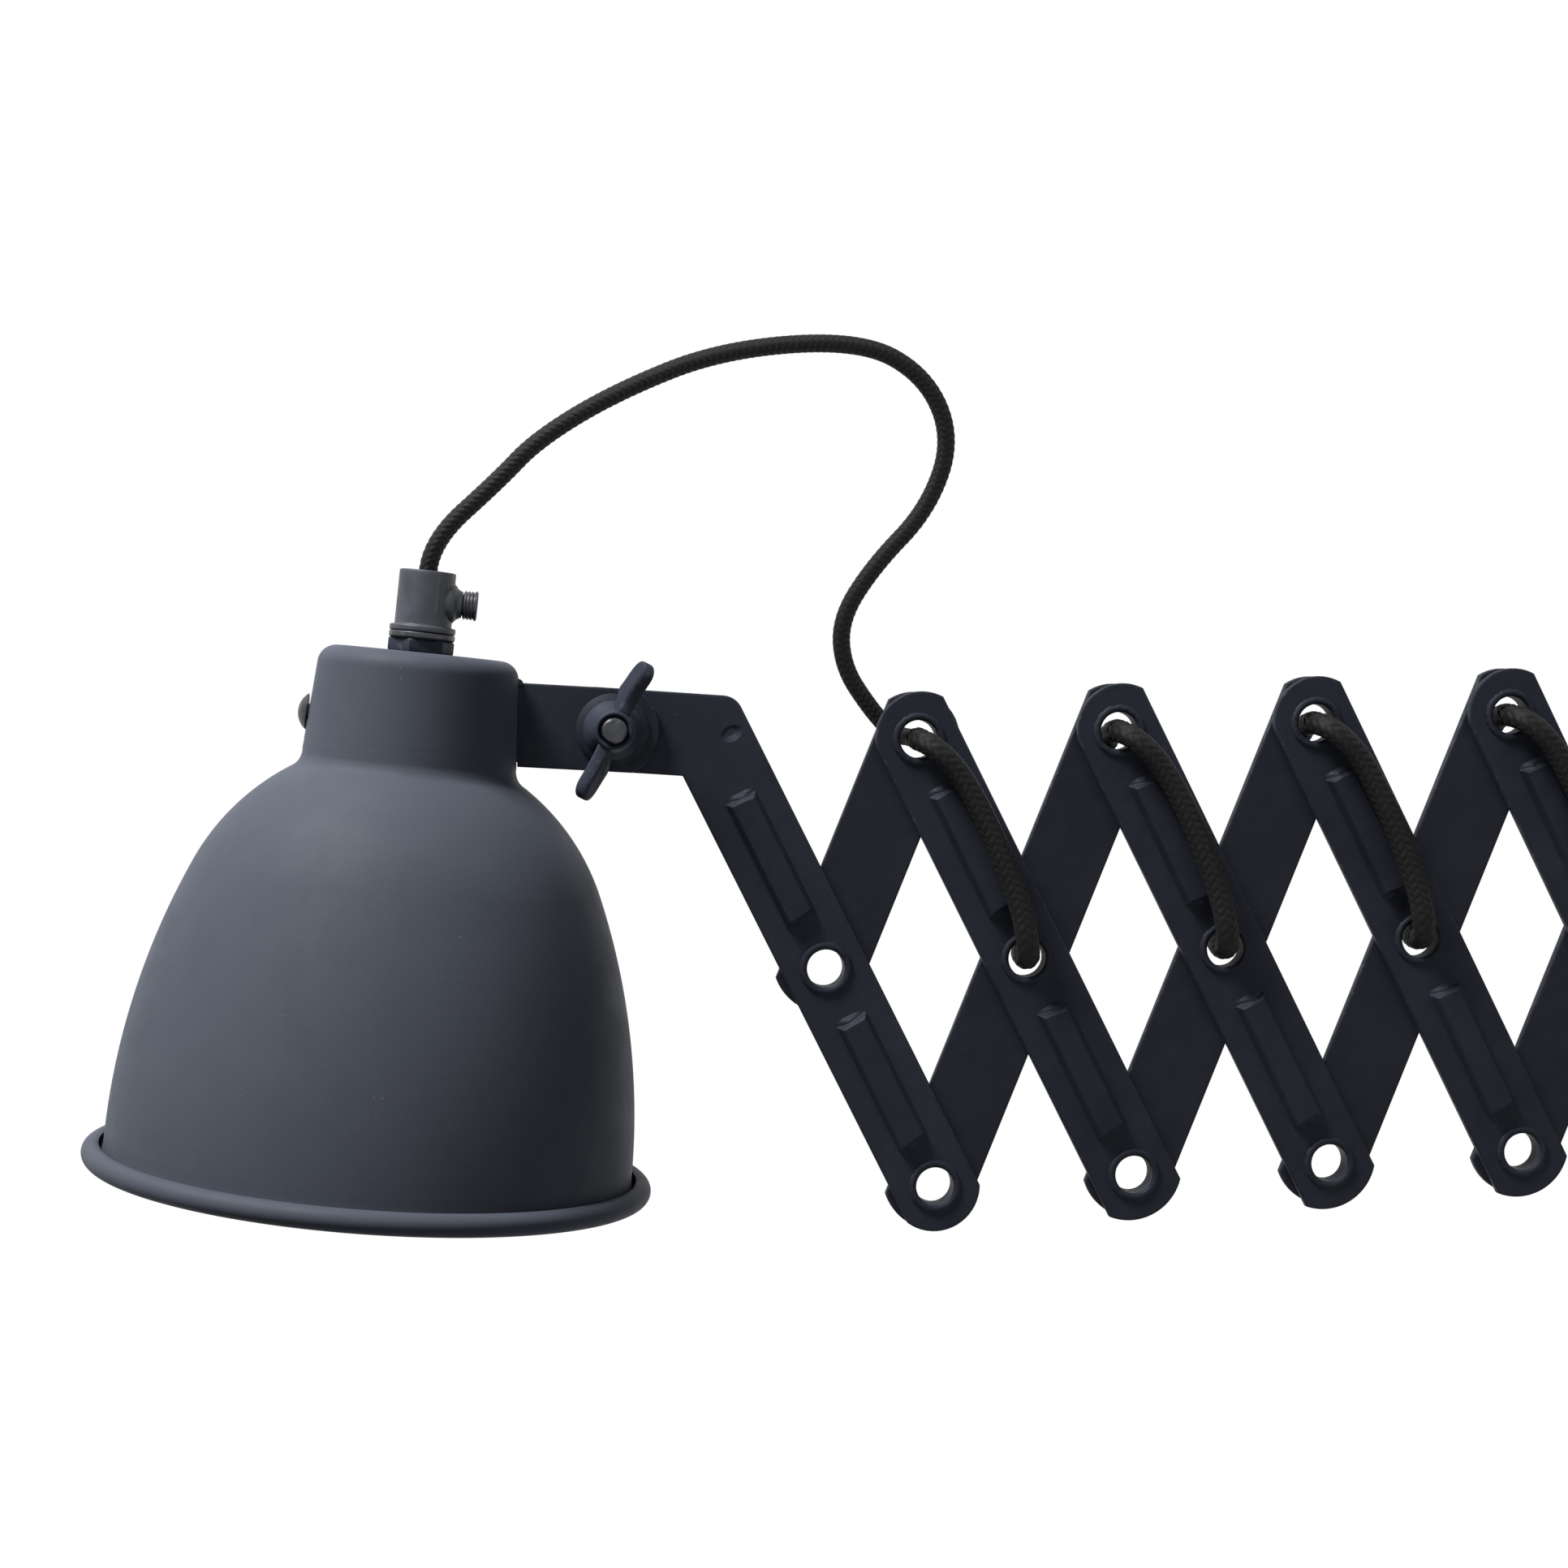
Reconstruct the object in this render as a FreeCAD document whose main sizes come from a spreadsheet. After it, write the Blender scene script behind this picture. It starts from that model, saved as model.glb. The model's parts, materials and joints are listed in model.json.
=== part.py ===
import FreeCAD, Part
import math
import operator
import os
import Sketcher
from FreeCAD import Placement, Rotation, Vector

"""Accordion wall lamp: a spun steel shade on a scissor arm of flat iron bars.

The arm lies along -X from the wall, +Z is up, and the front bars face -Y. The origin is the
middle of the wall plate's back face. Lengths are millimetres and angles are degrees.
"""

# ---------------------------------------------------------------- driving sizes

DRIVING_SIZES = {
    # flat iron bars of the scissor
    "bar_width": 25.0,
    "bar_thickness": 3.0,
    "bar_span": 150.0,          # end hole to end hole
    "bar_nose": 14.0,           # radius of a bar's end about its end hole
    "bar_gap": 0.3,             # running gap between front and back bars
    "cell_count": 5,            # crossings between the head and the wall
    "rest_angle": 65.6,         # a bar's slope at rest
    # rolled tubular eyelets
    "eyelet_bore": 11.5,
    "eyelet_wall": 0.85,
    "eyelet_lip_radius": 8.1,
    "eyelet_lip": 1.0,          # height of a rolled lip
    "eyelet_play": 0.08,        # radial play of a bar on its eyelet
    "lip_play": 0.15,           # axial play of the back bar under the back lip
    # strips welded on the front bars
    "strip_length": 43.0,
    "strip_width": 9.0,
    "strip_thickness": 3.0,
    "strip_place": 38.0,        # strip centre from the middle hole
    # bent arm and clamp bolt
    "elbow_reach": 78.8,        # middle hole to the elbow
    "leg_length": 29.3,         # elbow to the clamp bolt
    "leg_slope": 6.0,           # fall of the leg towards the elbow
    "elbow_radius": 6.5,
    "bolt_diameter": 8.0,
    "bolt_play": 0.2,
    "bolt_head_across": 13.0,
    "bolt_head_height": 5.3,
    "lug_gap": 0.2,             # between the arm and the lamp head's lug
    # shade, in its own frame: the axis is Z, and 0 is where the neck meets the shoulder
    "shade_lean": 8.0,
    "shade_wall": 1.0,
    "neck_top_radius": 29.6,
    "neck_base_radius": 31.6,
    "neck_height": 35.0,
    "neck_corner": 5.5,
    "shoulder_fillet": 5.0,
    "shoulder_slope": 32.0,
    "waist_slope": 66.4,
    "waist_radius": 59.9,
    "waist_drop": 31.8,
    "mouth_radius": 77.6,
    "mouth_drop": 118.3,
    "bead_radius": 3.25,        # wired edge round the mouth
    "bead_bite": 0.4,           # how far the wired edge laps over the wall
    # lug that carries the shade
    "bolt_reach": 58.7,         # shade axis to the clamp bolt
    "bolt_height": 18.0,        # clamp bolt above the shoulder
    "lug_rise": 2.6,
    "weld_leg": 3.2,
    # clamp washer and wing nut
    "washer_radius": 10.9,
    "washer_height": 2.0,
    "nut_gap": 0.1,
    "wing_base_radius": 8.8,
    "wing_hub_radius": 5.3,
    "wing_nut_height": 11.0,
    "wing_span": 45.0,
    "wing_thickness": 4.5,
    "wing_turn": 61.0,
    # cord grip on the cap
    "nipple_diameter": 10.0,
    "nipple_bore": 7.0,
    "nipple_play": 0.1,
    "cap_nut_across": 17.0,
    "cap_nut_height": 4.0,
    "grip_ring_radius": 9.7,
    "grip_washer_height": 2.2,
    "grip_flange_height": 1.7,
    "grip_radius": 8.3,
    "grip_height": 16.4,
    "grip_boss_radius": 6.2,
    "grip_screw_height": 7.5,   # clamp screw above the flange
    "grip_screw_radius": 4.4,
    "grip_screw_tip": 3.0,      # radius of the screw's tip
    "grip_screw_reach": 15.4,
    # screw on the neck
    "neck_screw_height": 14.5,
    "neck_screw_radius": 2.4,
    "neck_screw_head": 5.3,
    "neck_screw_dome": 2.8,
    "neck_nut_across": 8.0,
    "neck_nut_height": 3.2,
    # lamp holder
    "holder_radius": 19.5,
    "holder_wall": 2.0,
    "holder_collar": 7.5,
    "holder_collar_drop": 10.0,
    "holder_cap_drop": 36.0,    # length of the holder's cap, below the shade's cap
    "holder_skirt": 32.0,
    "shell_bore": 26.6,         # E27 screw shell
    "shell_wall": 0.5,
    "shell_length": 22.0,
    "shell_inset": 2.0,         # screw shell behind the holder's mouth
    "holder_floor": 5.0,
    "contact_stub": 1.5,
    "contact_radius": 5.0,
    "contact_height": 1.5,
    "contact_gap": 0.5,         # contact behind the end of the screw shell
    # wall bracket
    "plate_width": 60.0,
    "plate_overhang": 19.0,     # plate past each ear
    "plate_thickness": 4.0,
    "plate_corner": 8.0,
    "plate_screw_edge": 10.0,   # screw holes from the plate's ends
    "plate_screw_diameter": 5.5,
    "ear_thickness": 4.0,
    "ear_clearance": 2.4,       # ear to the stop collar
    "rod_offset": 45.0,         # rod axis to the wall
    "rod_diameter": 10.0,
    "rod_end_diameter": 8.0,
    "rod_nut_across": 13.0,
    "rod_nut_height": 6.5,
    "sleeve_radius": 8.0,
    "sleeve_play": 0.1,
    "upper_sleeve_length": 26.0,
    "lower_sleeve_length": 22.0,
    "pivot_offset": 26.0,       # end pivots to the rod axis
    "collar_radius": 9.0,
    "collar_height": 8.0,
    "collar_play": 0.3,
    # cable entry in the wall plate
    "entry_side": -19.0,
    "entry_drop": 18.0,         # below the upper pivots
    "grommet_radius": 7.5,
    "grommet_groove": 5.5,
    "grommet_lip": 1.5,
    # cord
    "cord_diameter": 5.6,
    "laced_diameter": 7.2,      # the braid bunches up where it is laced
    "cord_play": 0.15,
}

document = FreeCAD.newDocument("AccordionWallLamp")
sheet = document.addObject("Spreadsheet::Sheet", "Sizes")
for row, (alias, number) in enumerate(DRIVING_SIZES.items(), start=1):
    sheet.set(f"A{row}", alias)
    sheet.set(f"B{row}", str(number))
    sheet.setAlias(f"B{row}", alias)
document.recompute()

OPERATIONS = {"+": operator.add, "-": operator.sub, "*": operator.mul, "/": operator.truediv}


class Size:
    """A number with the sheet formula that it follows."""

    def __init__(self, value, formula=None):
        self.value = float(value)
        self.formula = formula or f"({float(value)!r})"

    def combined(self, sign, other, swapped=False):
        other = other if isinstance(other, Size) else Size(other)
        left, right = (other, self) if swapped else (self, other)
        return Size(OPERATIONS[sign](left.value, right.value), f"({left.formula} {sign} {right.formula})")

    def __add__(self, other):
        return self.combined("+", other)

    def __radd__(self, other):
        return self.combined("+", other, swapped=True)

    def __sub__(self, other):
        return self.combined("-", other)

    def __rsub__(self, other):
        return self.combined("-", other, swapped=True)

    def __mul__(self, other):
        return self.combined("*", other)

    def __rmul__(self, other):
        return self.combined("*", other, swapped=True)

    def __truediv__(self, other):
        return self.combined("/", other)

    def __neg__(self):
        return self.combined("*", -1.0)


def size(alias):
    """The named cell of the sheet."""
    return Size(sheet.get(alias), f"Sizes.{alias}")


def sine(angle):
    return Size(math.sin(math.radians(angle.value)), f"sin({angle.formula} * 1deg)")


def cosine(angle):
    return Size(math.cos(math.radians(angle.value)), f"cos({angle.formula} * 1deg)")


def tangent(angle):
    return Size(math.tan(math.radians(angle.value)), f"tan({angle.formula} * 1deg)")


def root(square):
    return Size(math.sqrt(square.value), f"sqrt({square.formula})")


ZERO = Size(0.0)

bar_width = size("bar_width")
bar_thickness = size("bar_thickness")
bar_span = size("bar_span")
bar_nose = size("bar_nose")
bar_gap = size("bar_gap")
half_width = bar_width / 2
half_span = bar_span / 2
nose_inset = root(bar_nose * bar_nose - half_width * half_width)
cell_count = int(sheet.get("cell_count"))
rest_angle = sheet.get("rest_angle")

plane_offset = (bar_gap + bar_thickness) / 2
bar_back = bar_gap / 2
bar_front = bar_back + bar_thickness
hole_radius = size("eyelet_bore") / 2 + size("eyelet_wall") + size("eyelet_play")

# ---------------------------------------------------------------- sketching helpers


def new_body(label):
    """An empty body of its own name."""
    body = document.addObject("PartDesign::Body", label)
    body.Label = label
    return body


class Sketch:
    """One sketch on a plane of its body, with every point and radius tied to the sheet."""

    def __init__(self, body, role, shift=None):
        plane = [part for part in body.Origin.OriginFeatures if part.Role == role][0]
        self.item = body.newObject("Sketcher::SketchObject", "Sketch")
        self.item.AttachmentSupport = [(plane, "")]
        self.item.MapMode = "FlatFace"
        if shift is not None:
            self.item.AttachmentOffset = Placement(Vector(0, 0, shift.value), Rotation())
            self.item.setExpression("AttachmentOffset.Base.z", shift.formula)
        self.ties = 0

    def tie(self, kind, *parts):
        """Adds a constraint whose last part is a Size, and binds it to that size's formula."""
        *places, amount = parts
        index = self.item.addConstraint(Sketcher.Constraint(kind, *places, amount.value))
        self.ties += 1
        name = f"tie_{self.ties}"
        self.item.renameConstraint(index, name)
        self.item.setExpression(f"Constraints.{name}", amount.formula)

    def pin_point(self, geometry, point, x, y):
        """Fixes a point of the sketch at (x, y)."""
        if abs(x.value) < 1e-9:
            self.item.addConstraint(Sketcher.Constraint("PointOnObject", geometry, point, -2))
        else:
            self.tie("DistanceX", -1, 1, geometry, point, x)
        if abs(y.value) < 1e-9:
            self.item.addConstraint(Sketcher.Constraint("PointOnObject", geometry, point, -1))
        else:
            self.tie("DistanceY", -1, 1, geometry, point, y)

    def circle(self, x, y, radius):
        centre = Vector(x.value, y.value, 0)
        index = self.item.addGeometry(Part.Circle(centre, Vector(0, 0, 1), radius.value), False)
        self.tie("Radius", index, radius)
        self.pin_point(index, 3, x, y)

    def outline(self, corners, arcs=None):
        """A closed outline through the corners.

        arcs maps a corner's index to (radius, side): the stretch from that corner to the next is
        an arc of that radius, whose centre is on the left (side 1) or right (side -1) of the way.
        """
        arcs = arcs or {}
        ends = []
        for index, (start, finish) in enumerate(zip(corners, corners[1:] + corners[:1])):
            a = Vector(start[0].value, start[1].value, 0)
            b = Vector(finish[0].value, finish[1].value, 0)
            if index in arcs:
                radius, side = arcs[index]
                middle = (a + b) * 0.5
                half_chord = (b - a).Length / 2
                way = (b - a).normalize()
                lift = math.sqrt(max(radius.value ** 2 - half_chord ** 2, 0.0))
                centre = middle + Vector(-way.y, way.x, 0) * (lift * side)
                first, last = (a, b) if side > 0 else (b, a)
                angles = [math.atan2(end.y - centre.y, end.x - centre.x) for end in (first, last)]
                if angles[1] < angles[0]:
                    angles[1] += 2 * math.pi
                circle = Part.Circle(centre, Vector(0, 0, 1), radius.value)
                geometry = self.item.addGeometry(Part.ArcOfCircle(circle, *angles), False)
                self.tie("Radius", geometry, radius)
                ends.append((geometry, 1, 2) if side > 0 else (geometry, 2, 1))
            else:
                geometry = self.item.addGeometry(Part.LineSegment(a, b), False)
                ends.append((geometry, 1, 2))
        for (geometry, start, finish), following in zip(ends, ends[1:] + ends[:1]):
            join = Sketcher.Constraint("Coincident", geometry, finish, following[0], following[1])
            self.item.addConstraint(join)
        for (geometry, start, finish), (x, y) in zip(ends, corners):
            self.pin_point(geometry, start, x, y)


def pad(body, sketch, length, symmetric=False, reversed_way=False):
    """Adds a plate of the sketch's shape."""
    feature = body.newObject("PartDesign::Pad", "Pad")
    feature.Profile = sketch.item
    feature.Length = length.value
    feature.setExpression("Length", length.formula)
    if symmetric:
        feature.SideType = "Symmetric"
    feature.Reversed = reversed_way
    body.Tip = feature
    return feature


def pocket(body, sketch, length, symmetric=True):
    """Cuts the sketch's shape out of the body and checks that it took something away."""
    document.recompute()
    before = body.Shape.Volume
    feature = body.newObject("PartDesign::Pocket", "Pocket")
    feature.Profile = sketch.item
    feature.Length = length.value
    feature.setExpression("Length", length.formula)
    if symmetric:
        feature.SideType = "Symmetric"
    body.Tip = feature
    document.recompute()
    if body.Shape.Volume > before - 0.01:
        raise ValueError(f"a pocket of {body.Label} cuts nothing")
    return feature


def revolve(body, sketch, axis="V_Axis", cut=False):
    """Turns the sketch's profile about one of its axes, as added or cut material."""
    document.recompute()
    before = body.Shape.Volume if cut else 0.0
    feature = body.newObject("PartDesign::Groove" if cut else "PartDesign::Revolution", "Turned")
    feature.Profile = sketch.item
    feature.ReferenceAxis = (sketch.item, [axis])
    feature.Angle = 360.0
    body.Tip = feature
    if cut:
        document.recompute()
        if body.Shape.Volume > before - 0.01:
            raise ValueError(f"a groove of {body.Label} cuts nothing")
    return feature


def turned_body(label, corners, arcs=None, role="XZ_Plane"):
    """A solid of revolution about Z, from its half profile of (radius, height) corners."""
    body = new_body(label)
    sketch = Sketch(body, role)
    sketch.outline(corners, arcs)
    revolve(body, sketch)
    return body


def ring_body(label, outer, inner, low, high):
    """A plain ring about Z between two heights."""
    return turned_body(label, [(inner, low), (outer, low), (outer, high), (inner, high)])


def hexagon(sketch, across):
    """A hexagon about the sketch's origin, flats facing left and right."""
    corner = across / (2 * cosine(Size(30.0)))
    points = []
    for step in range(6):
        turn = math.radians(30 + 60 * step)
        points.append((corner * math.cos(turn), corner * math.sin(turn)))
    points = [(x, ZERO if abs(y.value) < 1e-6 else y) for x, y in points]
    points = [(ZERO if abs(x.value) < 1e-6 else x, y) for x, y in points]
    sketch.outline(points)


def repeat_along_x(body, feature, length, count):
    """Repeats a feature along the body's X; the last copy is that far from the first."""
    document.recompute()
    pattern = body.newObject("PartDesign::LinearPattern", "Row")
    pattern.Originals = [feature]
    axis = [part for part in body.Origin.OriginFeatures if part.Role == "X_Axis"][0]
    pattern.Direction = (axis, [""])
    pattern.Length = length.value
    pattern.setExpression("Length", length.formula)
    pattern.Occurrences = count
    body.Tip = pattern


def about_y(angle):
    return Rotation(Vector(0, 1, 0), angle)


def flat_bar(label, first, last, stations):
    """A flat bar along X with a round nose past its first and last pivots, and its holes."""
    body = new_body(label)
    sketch = Sketch(body, "XZ_Plane")
    low = first - nose_inset
    high = last + nose_inset
    corners = [(low, -half_width), (high, -half_width), (high, half_width), (low, half_width)]
    sketch.outline(corners, {1: (bar_nose, 1), 3: (bar_nose, 1)})
    pad(body, sketch, bar_thickness, symmetric=True)
    holes = Sketch(body, "XZ_Plane")
    for station in stations:
        holes.circle(station, ZERO, hole_radius)
    pocket(body, holes, bar_thickness * 2)
    return body


# ---------------------------------------------------------------- places in the lamp

half_pitch = half_span.value * math.cos(math.radians(rest_angle))
rise_size = half_span * sine(size("rest_angle"))
half_rise = rise_size.value
pivot_x = -(sheet.get("rod_offset") + sheet.get("pivot_offset"))
front_y = -plane_offset.value
back_y = plane_offset.value


def crossing_x(cell):
    """X of the middle pivot of a cell; cell 0 is at the lamp head."""
    return pivot_x - (2 * (cell_count - cell) - 1) * half_pitch


def front_place(cell):
    """Where a front bar lies: its +X end is the lower one."""
    return Placement(Vector(crossing_x(cell), 0, 0), about_y(rest_angle))


def back_place(cell):
    """Where a back bar lies: its +X end is the upper one."""
    return Placement(Vector(crossing_x(cell), 0, 0), about_y(-rest_angle))


nodes = []

# ---------------------------------------------------------------- bars, strips and eyelets

# The bent arm's frame is its middle hole, with the lower end along +X and the elbow along -X.
bend = rest_angle - sheet.get("leg_slope")
elbow_x = -size("elbow_reach")
leg_turn = size("rest_angle") - size("leg_slope")
miter = half_width * tangent(leg_turn / 2)
leg_length = size("leg_length")
leg_cos = cosine(leg_turn)
leg_sin = sine(leg_turn)


def on_leg(along, across):
    """A point of the leg: along it from the elbow towards the bolt, and across it, outward up."""
    return (elbow_x - along * leg_cos - across * leg_sin, across * leg_cos - along * leg_sin)


bent_arm = new_body("bent_arm")
arm_sketch = Sketch(bent_arm, "XZ_Plane")
arm_sketch.outline(
    [
        (elbow_x + miter, -half_width),
        (half_span + nose_inset, -half_width),
        (half_span + nose_inset, half_width),
        (elbow_x - miter, half_width),
        on_leg(leg_length + nose_inset, half_width),
        on_leg(leg_length + nose_inset, -half_width),
    ],
    {1: (bar_nose, 1), 4: (bar_nose, 1)},
)
arm_pad = pad(bent_arm, arm_sketch, bar_thickness, symmetric=True)
arm_holes = Sketch(bent_arm, "XZ_Plane")
arm_holes.circle(ZERO, ZERO, hole_radius)
arm_holes.circle(half_span, ZERO, hole_radius)
arm_holes.circle(*on_leg(leg_length, ZERO), size("bolt_diameter") / 2 + size("bolt_play"))
arm_pocket = pocket(bent_arm, arm_holes, bar_thickness * 2)
outer_corner = Vector((elbow_x - miter).value, 0, half_width.value)


def upright_edge_at(shape, point, direction):
    """Name of the straight edge along the direction that passes the point."""
    for number, edge in enumerate(shape.Edges, start=1):
        if not isinstance(edge.Curve, Part.Line):
            continue
        if abs(abs(edge.Curve.Direction.dot(direction)) - 1) > 1e-6:
            continue
        gap = edge.CenterOfMass - point
        if (gap - direction * gap.dot(direction)).Length < 0.01:
            return f"Edge{number}"
    raise ValueError("no such edge")


elbow_round = bent_arm.newObject("PartDesign::Fillet", "ElbowRound")
elbow_round.Base = (arm_pocket, [upright_edge_at(arm_pocket.Shape, outer_corner, Vector(0, 1, 0))])
elbow_round.Radius = sheet.get("elbow_radius")
elbow_round.setExpression("Radius", "Sizes.elbow_radius")
bent_arm.Tip = elbow_round
bent_arm.Placement = Placement(Vector(crossing_x(0), front_y, 0), about_y(rest_angle))
nodes.append(bent_arm)

eyelet_bore = size("eyelet_bore") / 2
eyelet_tube = eyelet_bore + size("eyelet_wall")
lip_radius = size("eyelet_lip_radius")
lip = size("eyelet_lip")
lip_back = bar_front + size("lip_play")


def eyelet_row(label, place, count):
    """Rolled tubular eyelets about Y, a half span apart along X; the first is at the origin."""
    body = new_body(label)
    sketch = Sketch(body, "XY_Plane")
    sketch.outline(
        [
            (eyelet_bore, -bar_front),
            (eyelet_bore + lip, -bar_front - lip),
            (lip_radius - lip, -bar_front - lip),
            (lip_radius, -bar_front),
            (eyelet_tube, -bar_front),
            (eyelet_tube, lip_back),
            (lip_radius, lip_back),
            (lip_radius - lip, lip_back + lip),
            (eyelet_bore + lip, lip_back + lip),
            (eyelet_bore, lip_back),
        ]
    )
    ring = revolve(body, sketch)
    if count > 1:
        repeat_along_x(body, ring, half_span * (count - 1), count)
    body.Placement = place
    nodes.append(body)


def strip_pair(label, place):
    """The two strips welded on a front bar, above and below its middle pivot."""
    body = new_body(label)
    sketch = Sketch(body, "XZ_Plane", bar_front)
    strip_half = size("strip_length") / 2
    strip_side = size("strip_width") / 2
    for middle in (-size("strip_place"), size("strip_place")):
        low = middle - strip_half
        high = middle + strip_half
        sketch.outline([(low, -strip_side), (high, -strip_side), (high, strip_side), (low, strip_side)])
    pad(body, sketch, size("strip_thickness"))
    body.Placement = place
    nodes.append(body)


def along_bar(place, distance):
    """The placement of a piece that sits that far along a bar's own X."""
    return place.multiply(Placement(Vector(distance, 0, 0), Rotation()))


front_shift = Placement(Vector(0, front_y, 0), Rotation())
back_shift = Placement(Vector(0, back_y, 0), Rotation())
reach = half_span.value
for cell in range(cell_count):
    first = ZERO if cell == 0 else -half_span
    stations = (ZERO, half_span) if cell == 0 else (-half_span, ZERO, half_span)
    if cell > 0:
        front_bar = flat_bar(f"front_bar_{cell}", first, half_span, stations)
        front_bar.Placement = front_shift.multiply(front_place(cell))
        nodes.append(front_bar)
    back_bar = flat_bar(f"back_bar_{cell}", first, half_span, stations)
    back_bar.Placement = back_shift.multiply(back_place(cell))
    nodes.append(back_bar)
    strip_pair(f"bar_strips_{cell}", front_place(cell))
    eyelet_row(f"eyelets_{cell}", along_bar(front_place(cell), first.value), len(stations))

# ---------------------------------------------------------------- lamp head

bolt_turn = math.radians(rest_angle)
leg_end = on_leg(leg_length, ZERO)
bolt_x = crossing_x(0) + leg_end[0].value * math.cos(bolt_turn) + leg_end[1].value * math.sin(bolt_turn)
bolt_z = leg_end[1].value * math.cos(bolt_turn) - leg_end[0].value * math.sin(bolt_turn)
lug_back = bar_front + size("lug_gap")
lug_front = lug_back + bar_thickness
head_y = -(lug_back + bar_thickness / 2).value
lean = about_y(sheet.get("shade_lean"))
bolt_in_head = Vector(sheet.get("bolt_reach"), 0, sheet.get("bolt_height"))
head_base = Vector(bolt_x, head_y, bolt_z) - lean.multVec(bolt_in_head)
head_place = Placement(head_base, lean)


def add_head_part(body):
    """Sets a part, drawn about the shade's axis, in its place on the lamp."""
    body.Placement = head_place
    nodes.append(body)
    return body


neck_top = size("neck_top_radius")
neck_base = size("neck_base_radius")
neck_height = size("neck_height")
neck_corner = size("neck_corner")
shoulder_fillet = size("shoulder_fillet")
shoulder_slope = size("shoulder_slope")
shade_wall = size("shade_wall")
mouth_drop = size("mouth_drop")
bead_radius = size("bead_radius")
fillet_run = shoulder_fillet * tangent((90 - shoulder_slope) / 2)

def smooth_radius(touch, slope, end):
    """Radius of the arc that leaves touch at that slope from the shade's axis and passes end."""
    across = end[0] - touch[0]
    along = end[1] - touch[1]
    return -(across * across + along * along) / ((across * sine(slope) + along * cosine(slope)) * 2)


shade = new_body("shade")
shade_sketch = Sketch(shade, "XZ_Plane")
waist_slope = size("waist_slope")
mouth = (size("mouth_radius"), -mouth_drop)
waist = (size("waist_radius"), -size("waist_drop"))
shoulder = (neck_base + fillet_run * cosine(shoulder_slope), -fillet_run * sine(shoulder_slope))
lower_arc = smooth_radius(waist, waist_slope, mouth)
upper_arc = smooth_radius(waist, waist_slope, shoulder)
corner_low = neck_height - neck_corner
corner_in = neck_top - neck_corner
shade_sketch.outline(
    [
        mouth,
        waist,
        shoulder,
        (neck_base, fillet_run),
        (neck_top, corner_low),
        (corner_in, neck_height),
        (ZERO, neck_height),
        (ZERO, neck_height - shade_wall),
        (corner_in, neck_height - shade_wall),
        (neck_top - shade_wall, corner_low),
        (neck_base - shade_wall, fillet_run),
        (shoulder[0] - shade_wall * sine(shoulder_slope), shoulder[1] - shade_wall * cosine(shoulder_slope)),
        (waist[0] - shade_wall * sine(waist_slope), waist[1] - shade_wall * cosine(waist_slope)),
        (mouth[0] - shade_wall, mouth[1]),
    ],
    {
        0: (lower_arc, 1),
        1: (upper_arc, 1),
        2: (shoulder_fillet, -1),
        4: (neck_corner, 1),
        8: (neck_corner - shade_wall, -1),
        10: (shoulder_fillet + shade_wall, 1),
        11: (upper_arc - shade_wall, -1),
        12: (lower_arc - shade_wall, -1),
    },
)
revolve(shade, shade_sketch)
bead = Sketch(shade, "XZ_Plane")
bead.circle(size("mouth_radius") + bead_radius - size("bead_bite"), -mouth_drop, bead_radius)
revolve(shade, bead)
nipple_radius = size("nipple_diameter") / 2
nipple_play = size("nipple_play")
cap_hole = Sketch(shade, "XY_Plane", neck_height)
cap_hole.circle(ZERO, ZERO, nipple_radius + nipple_play)
pocket(shade, cap_hole, shade_wall * 4)
screw_radius = size("neck_screw_radius")
screw_height = size("neck_screw_height")
side_hole = Sketch(shade, "YZ_Plane", -neck_base)
side_hole.circle(ZERO, screw_height, screw_radius + nipple_play)
pocket(shade, side_hole, shade_wall * 8)
add_head_part(shade)

# The lug is drawn in the shade's frame, through the bolt, and its end is hollowed to the neck.
lug = new_body("tilt_lug")
rise = size("lug_rise")
lug_cos = cosine(rise)
lug_sin = sine(rise)
bolt_reach = size("bolt_reach")
bolt_height = size("bolt_height")
lug_length = bolt_reach - neck_top + shade_wall


def on_lug(along, across):
    """A point of the lug: outward from the bolt hole, and up across it."""
    return (
        bolt_reach + along * lug_cos - across * lug_sin,
        bolt_height + along * lug_sin + across * lug_cos,
    )


lug_sketch = Sketch(lug, "XZ_Plane")
lug_sketch.outline(
    [
        on_lug(-lug_length, -half_width),
        on_lug(nose_inset, -half_width),
        on_lug(nose_inset, half_width),
        on_lug(-lug_length, half_width),
    ],
    {1: (bar_nose, 1)},
)
pad(lug, lug_sketch, bar_thickness, symmetric=True)
lug_hole = Sketch(lug, "XZ_Plane")
lug_hole.circle(bolt_reach, bolt_height, size("bolt_diameter") / 2 + size("bolt_play"))
pocket(lug, lug_hole, bar_thickness * 2)
weld = Sketch(lug, "XZ_Plane")
weld_leg = size("weld_leg")
weld.outline(
    [
        on_lug(-lug_length, -half_width),
        on_lug(-(bolt_reach - neck_base) + weld_leg, -half_width),
        on_lug(-(bolt_reach - neck_base) + weld_leg, half_width),
        on_lug(-lug_length, half_width),
    ]
)
pad(lug, weld, bar_thickness + weld_leg, symmetric=True)
neck_cut = Sketch(lug, "XZ_Plane")
neck_slope = (neck_base - neck_top) / (neck_height - neck_corner - fillet_run)
cut_low = neck_base + neck_slope * (fillet_run + neck_height)
cut_high = neck_top - neck_slope * (neck_height + neck_corner)
neck_cut.outline([(ZERO, -neck_height), (cut_low, -neck_height), (cut_high, neck_height * 2), (ZERO, neck_height * 2)])
revolve(lug, neck_cut, cut=True)
add_head_part(lug)

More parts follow.
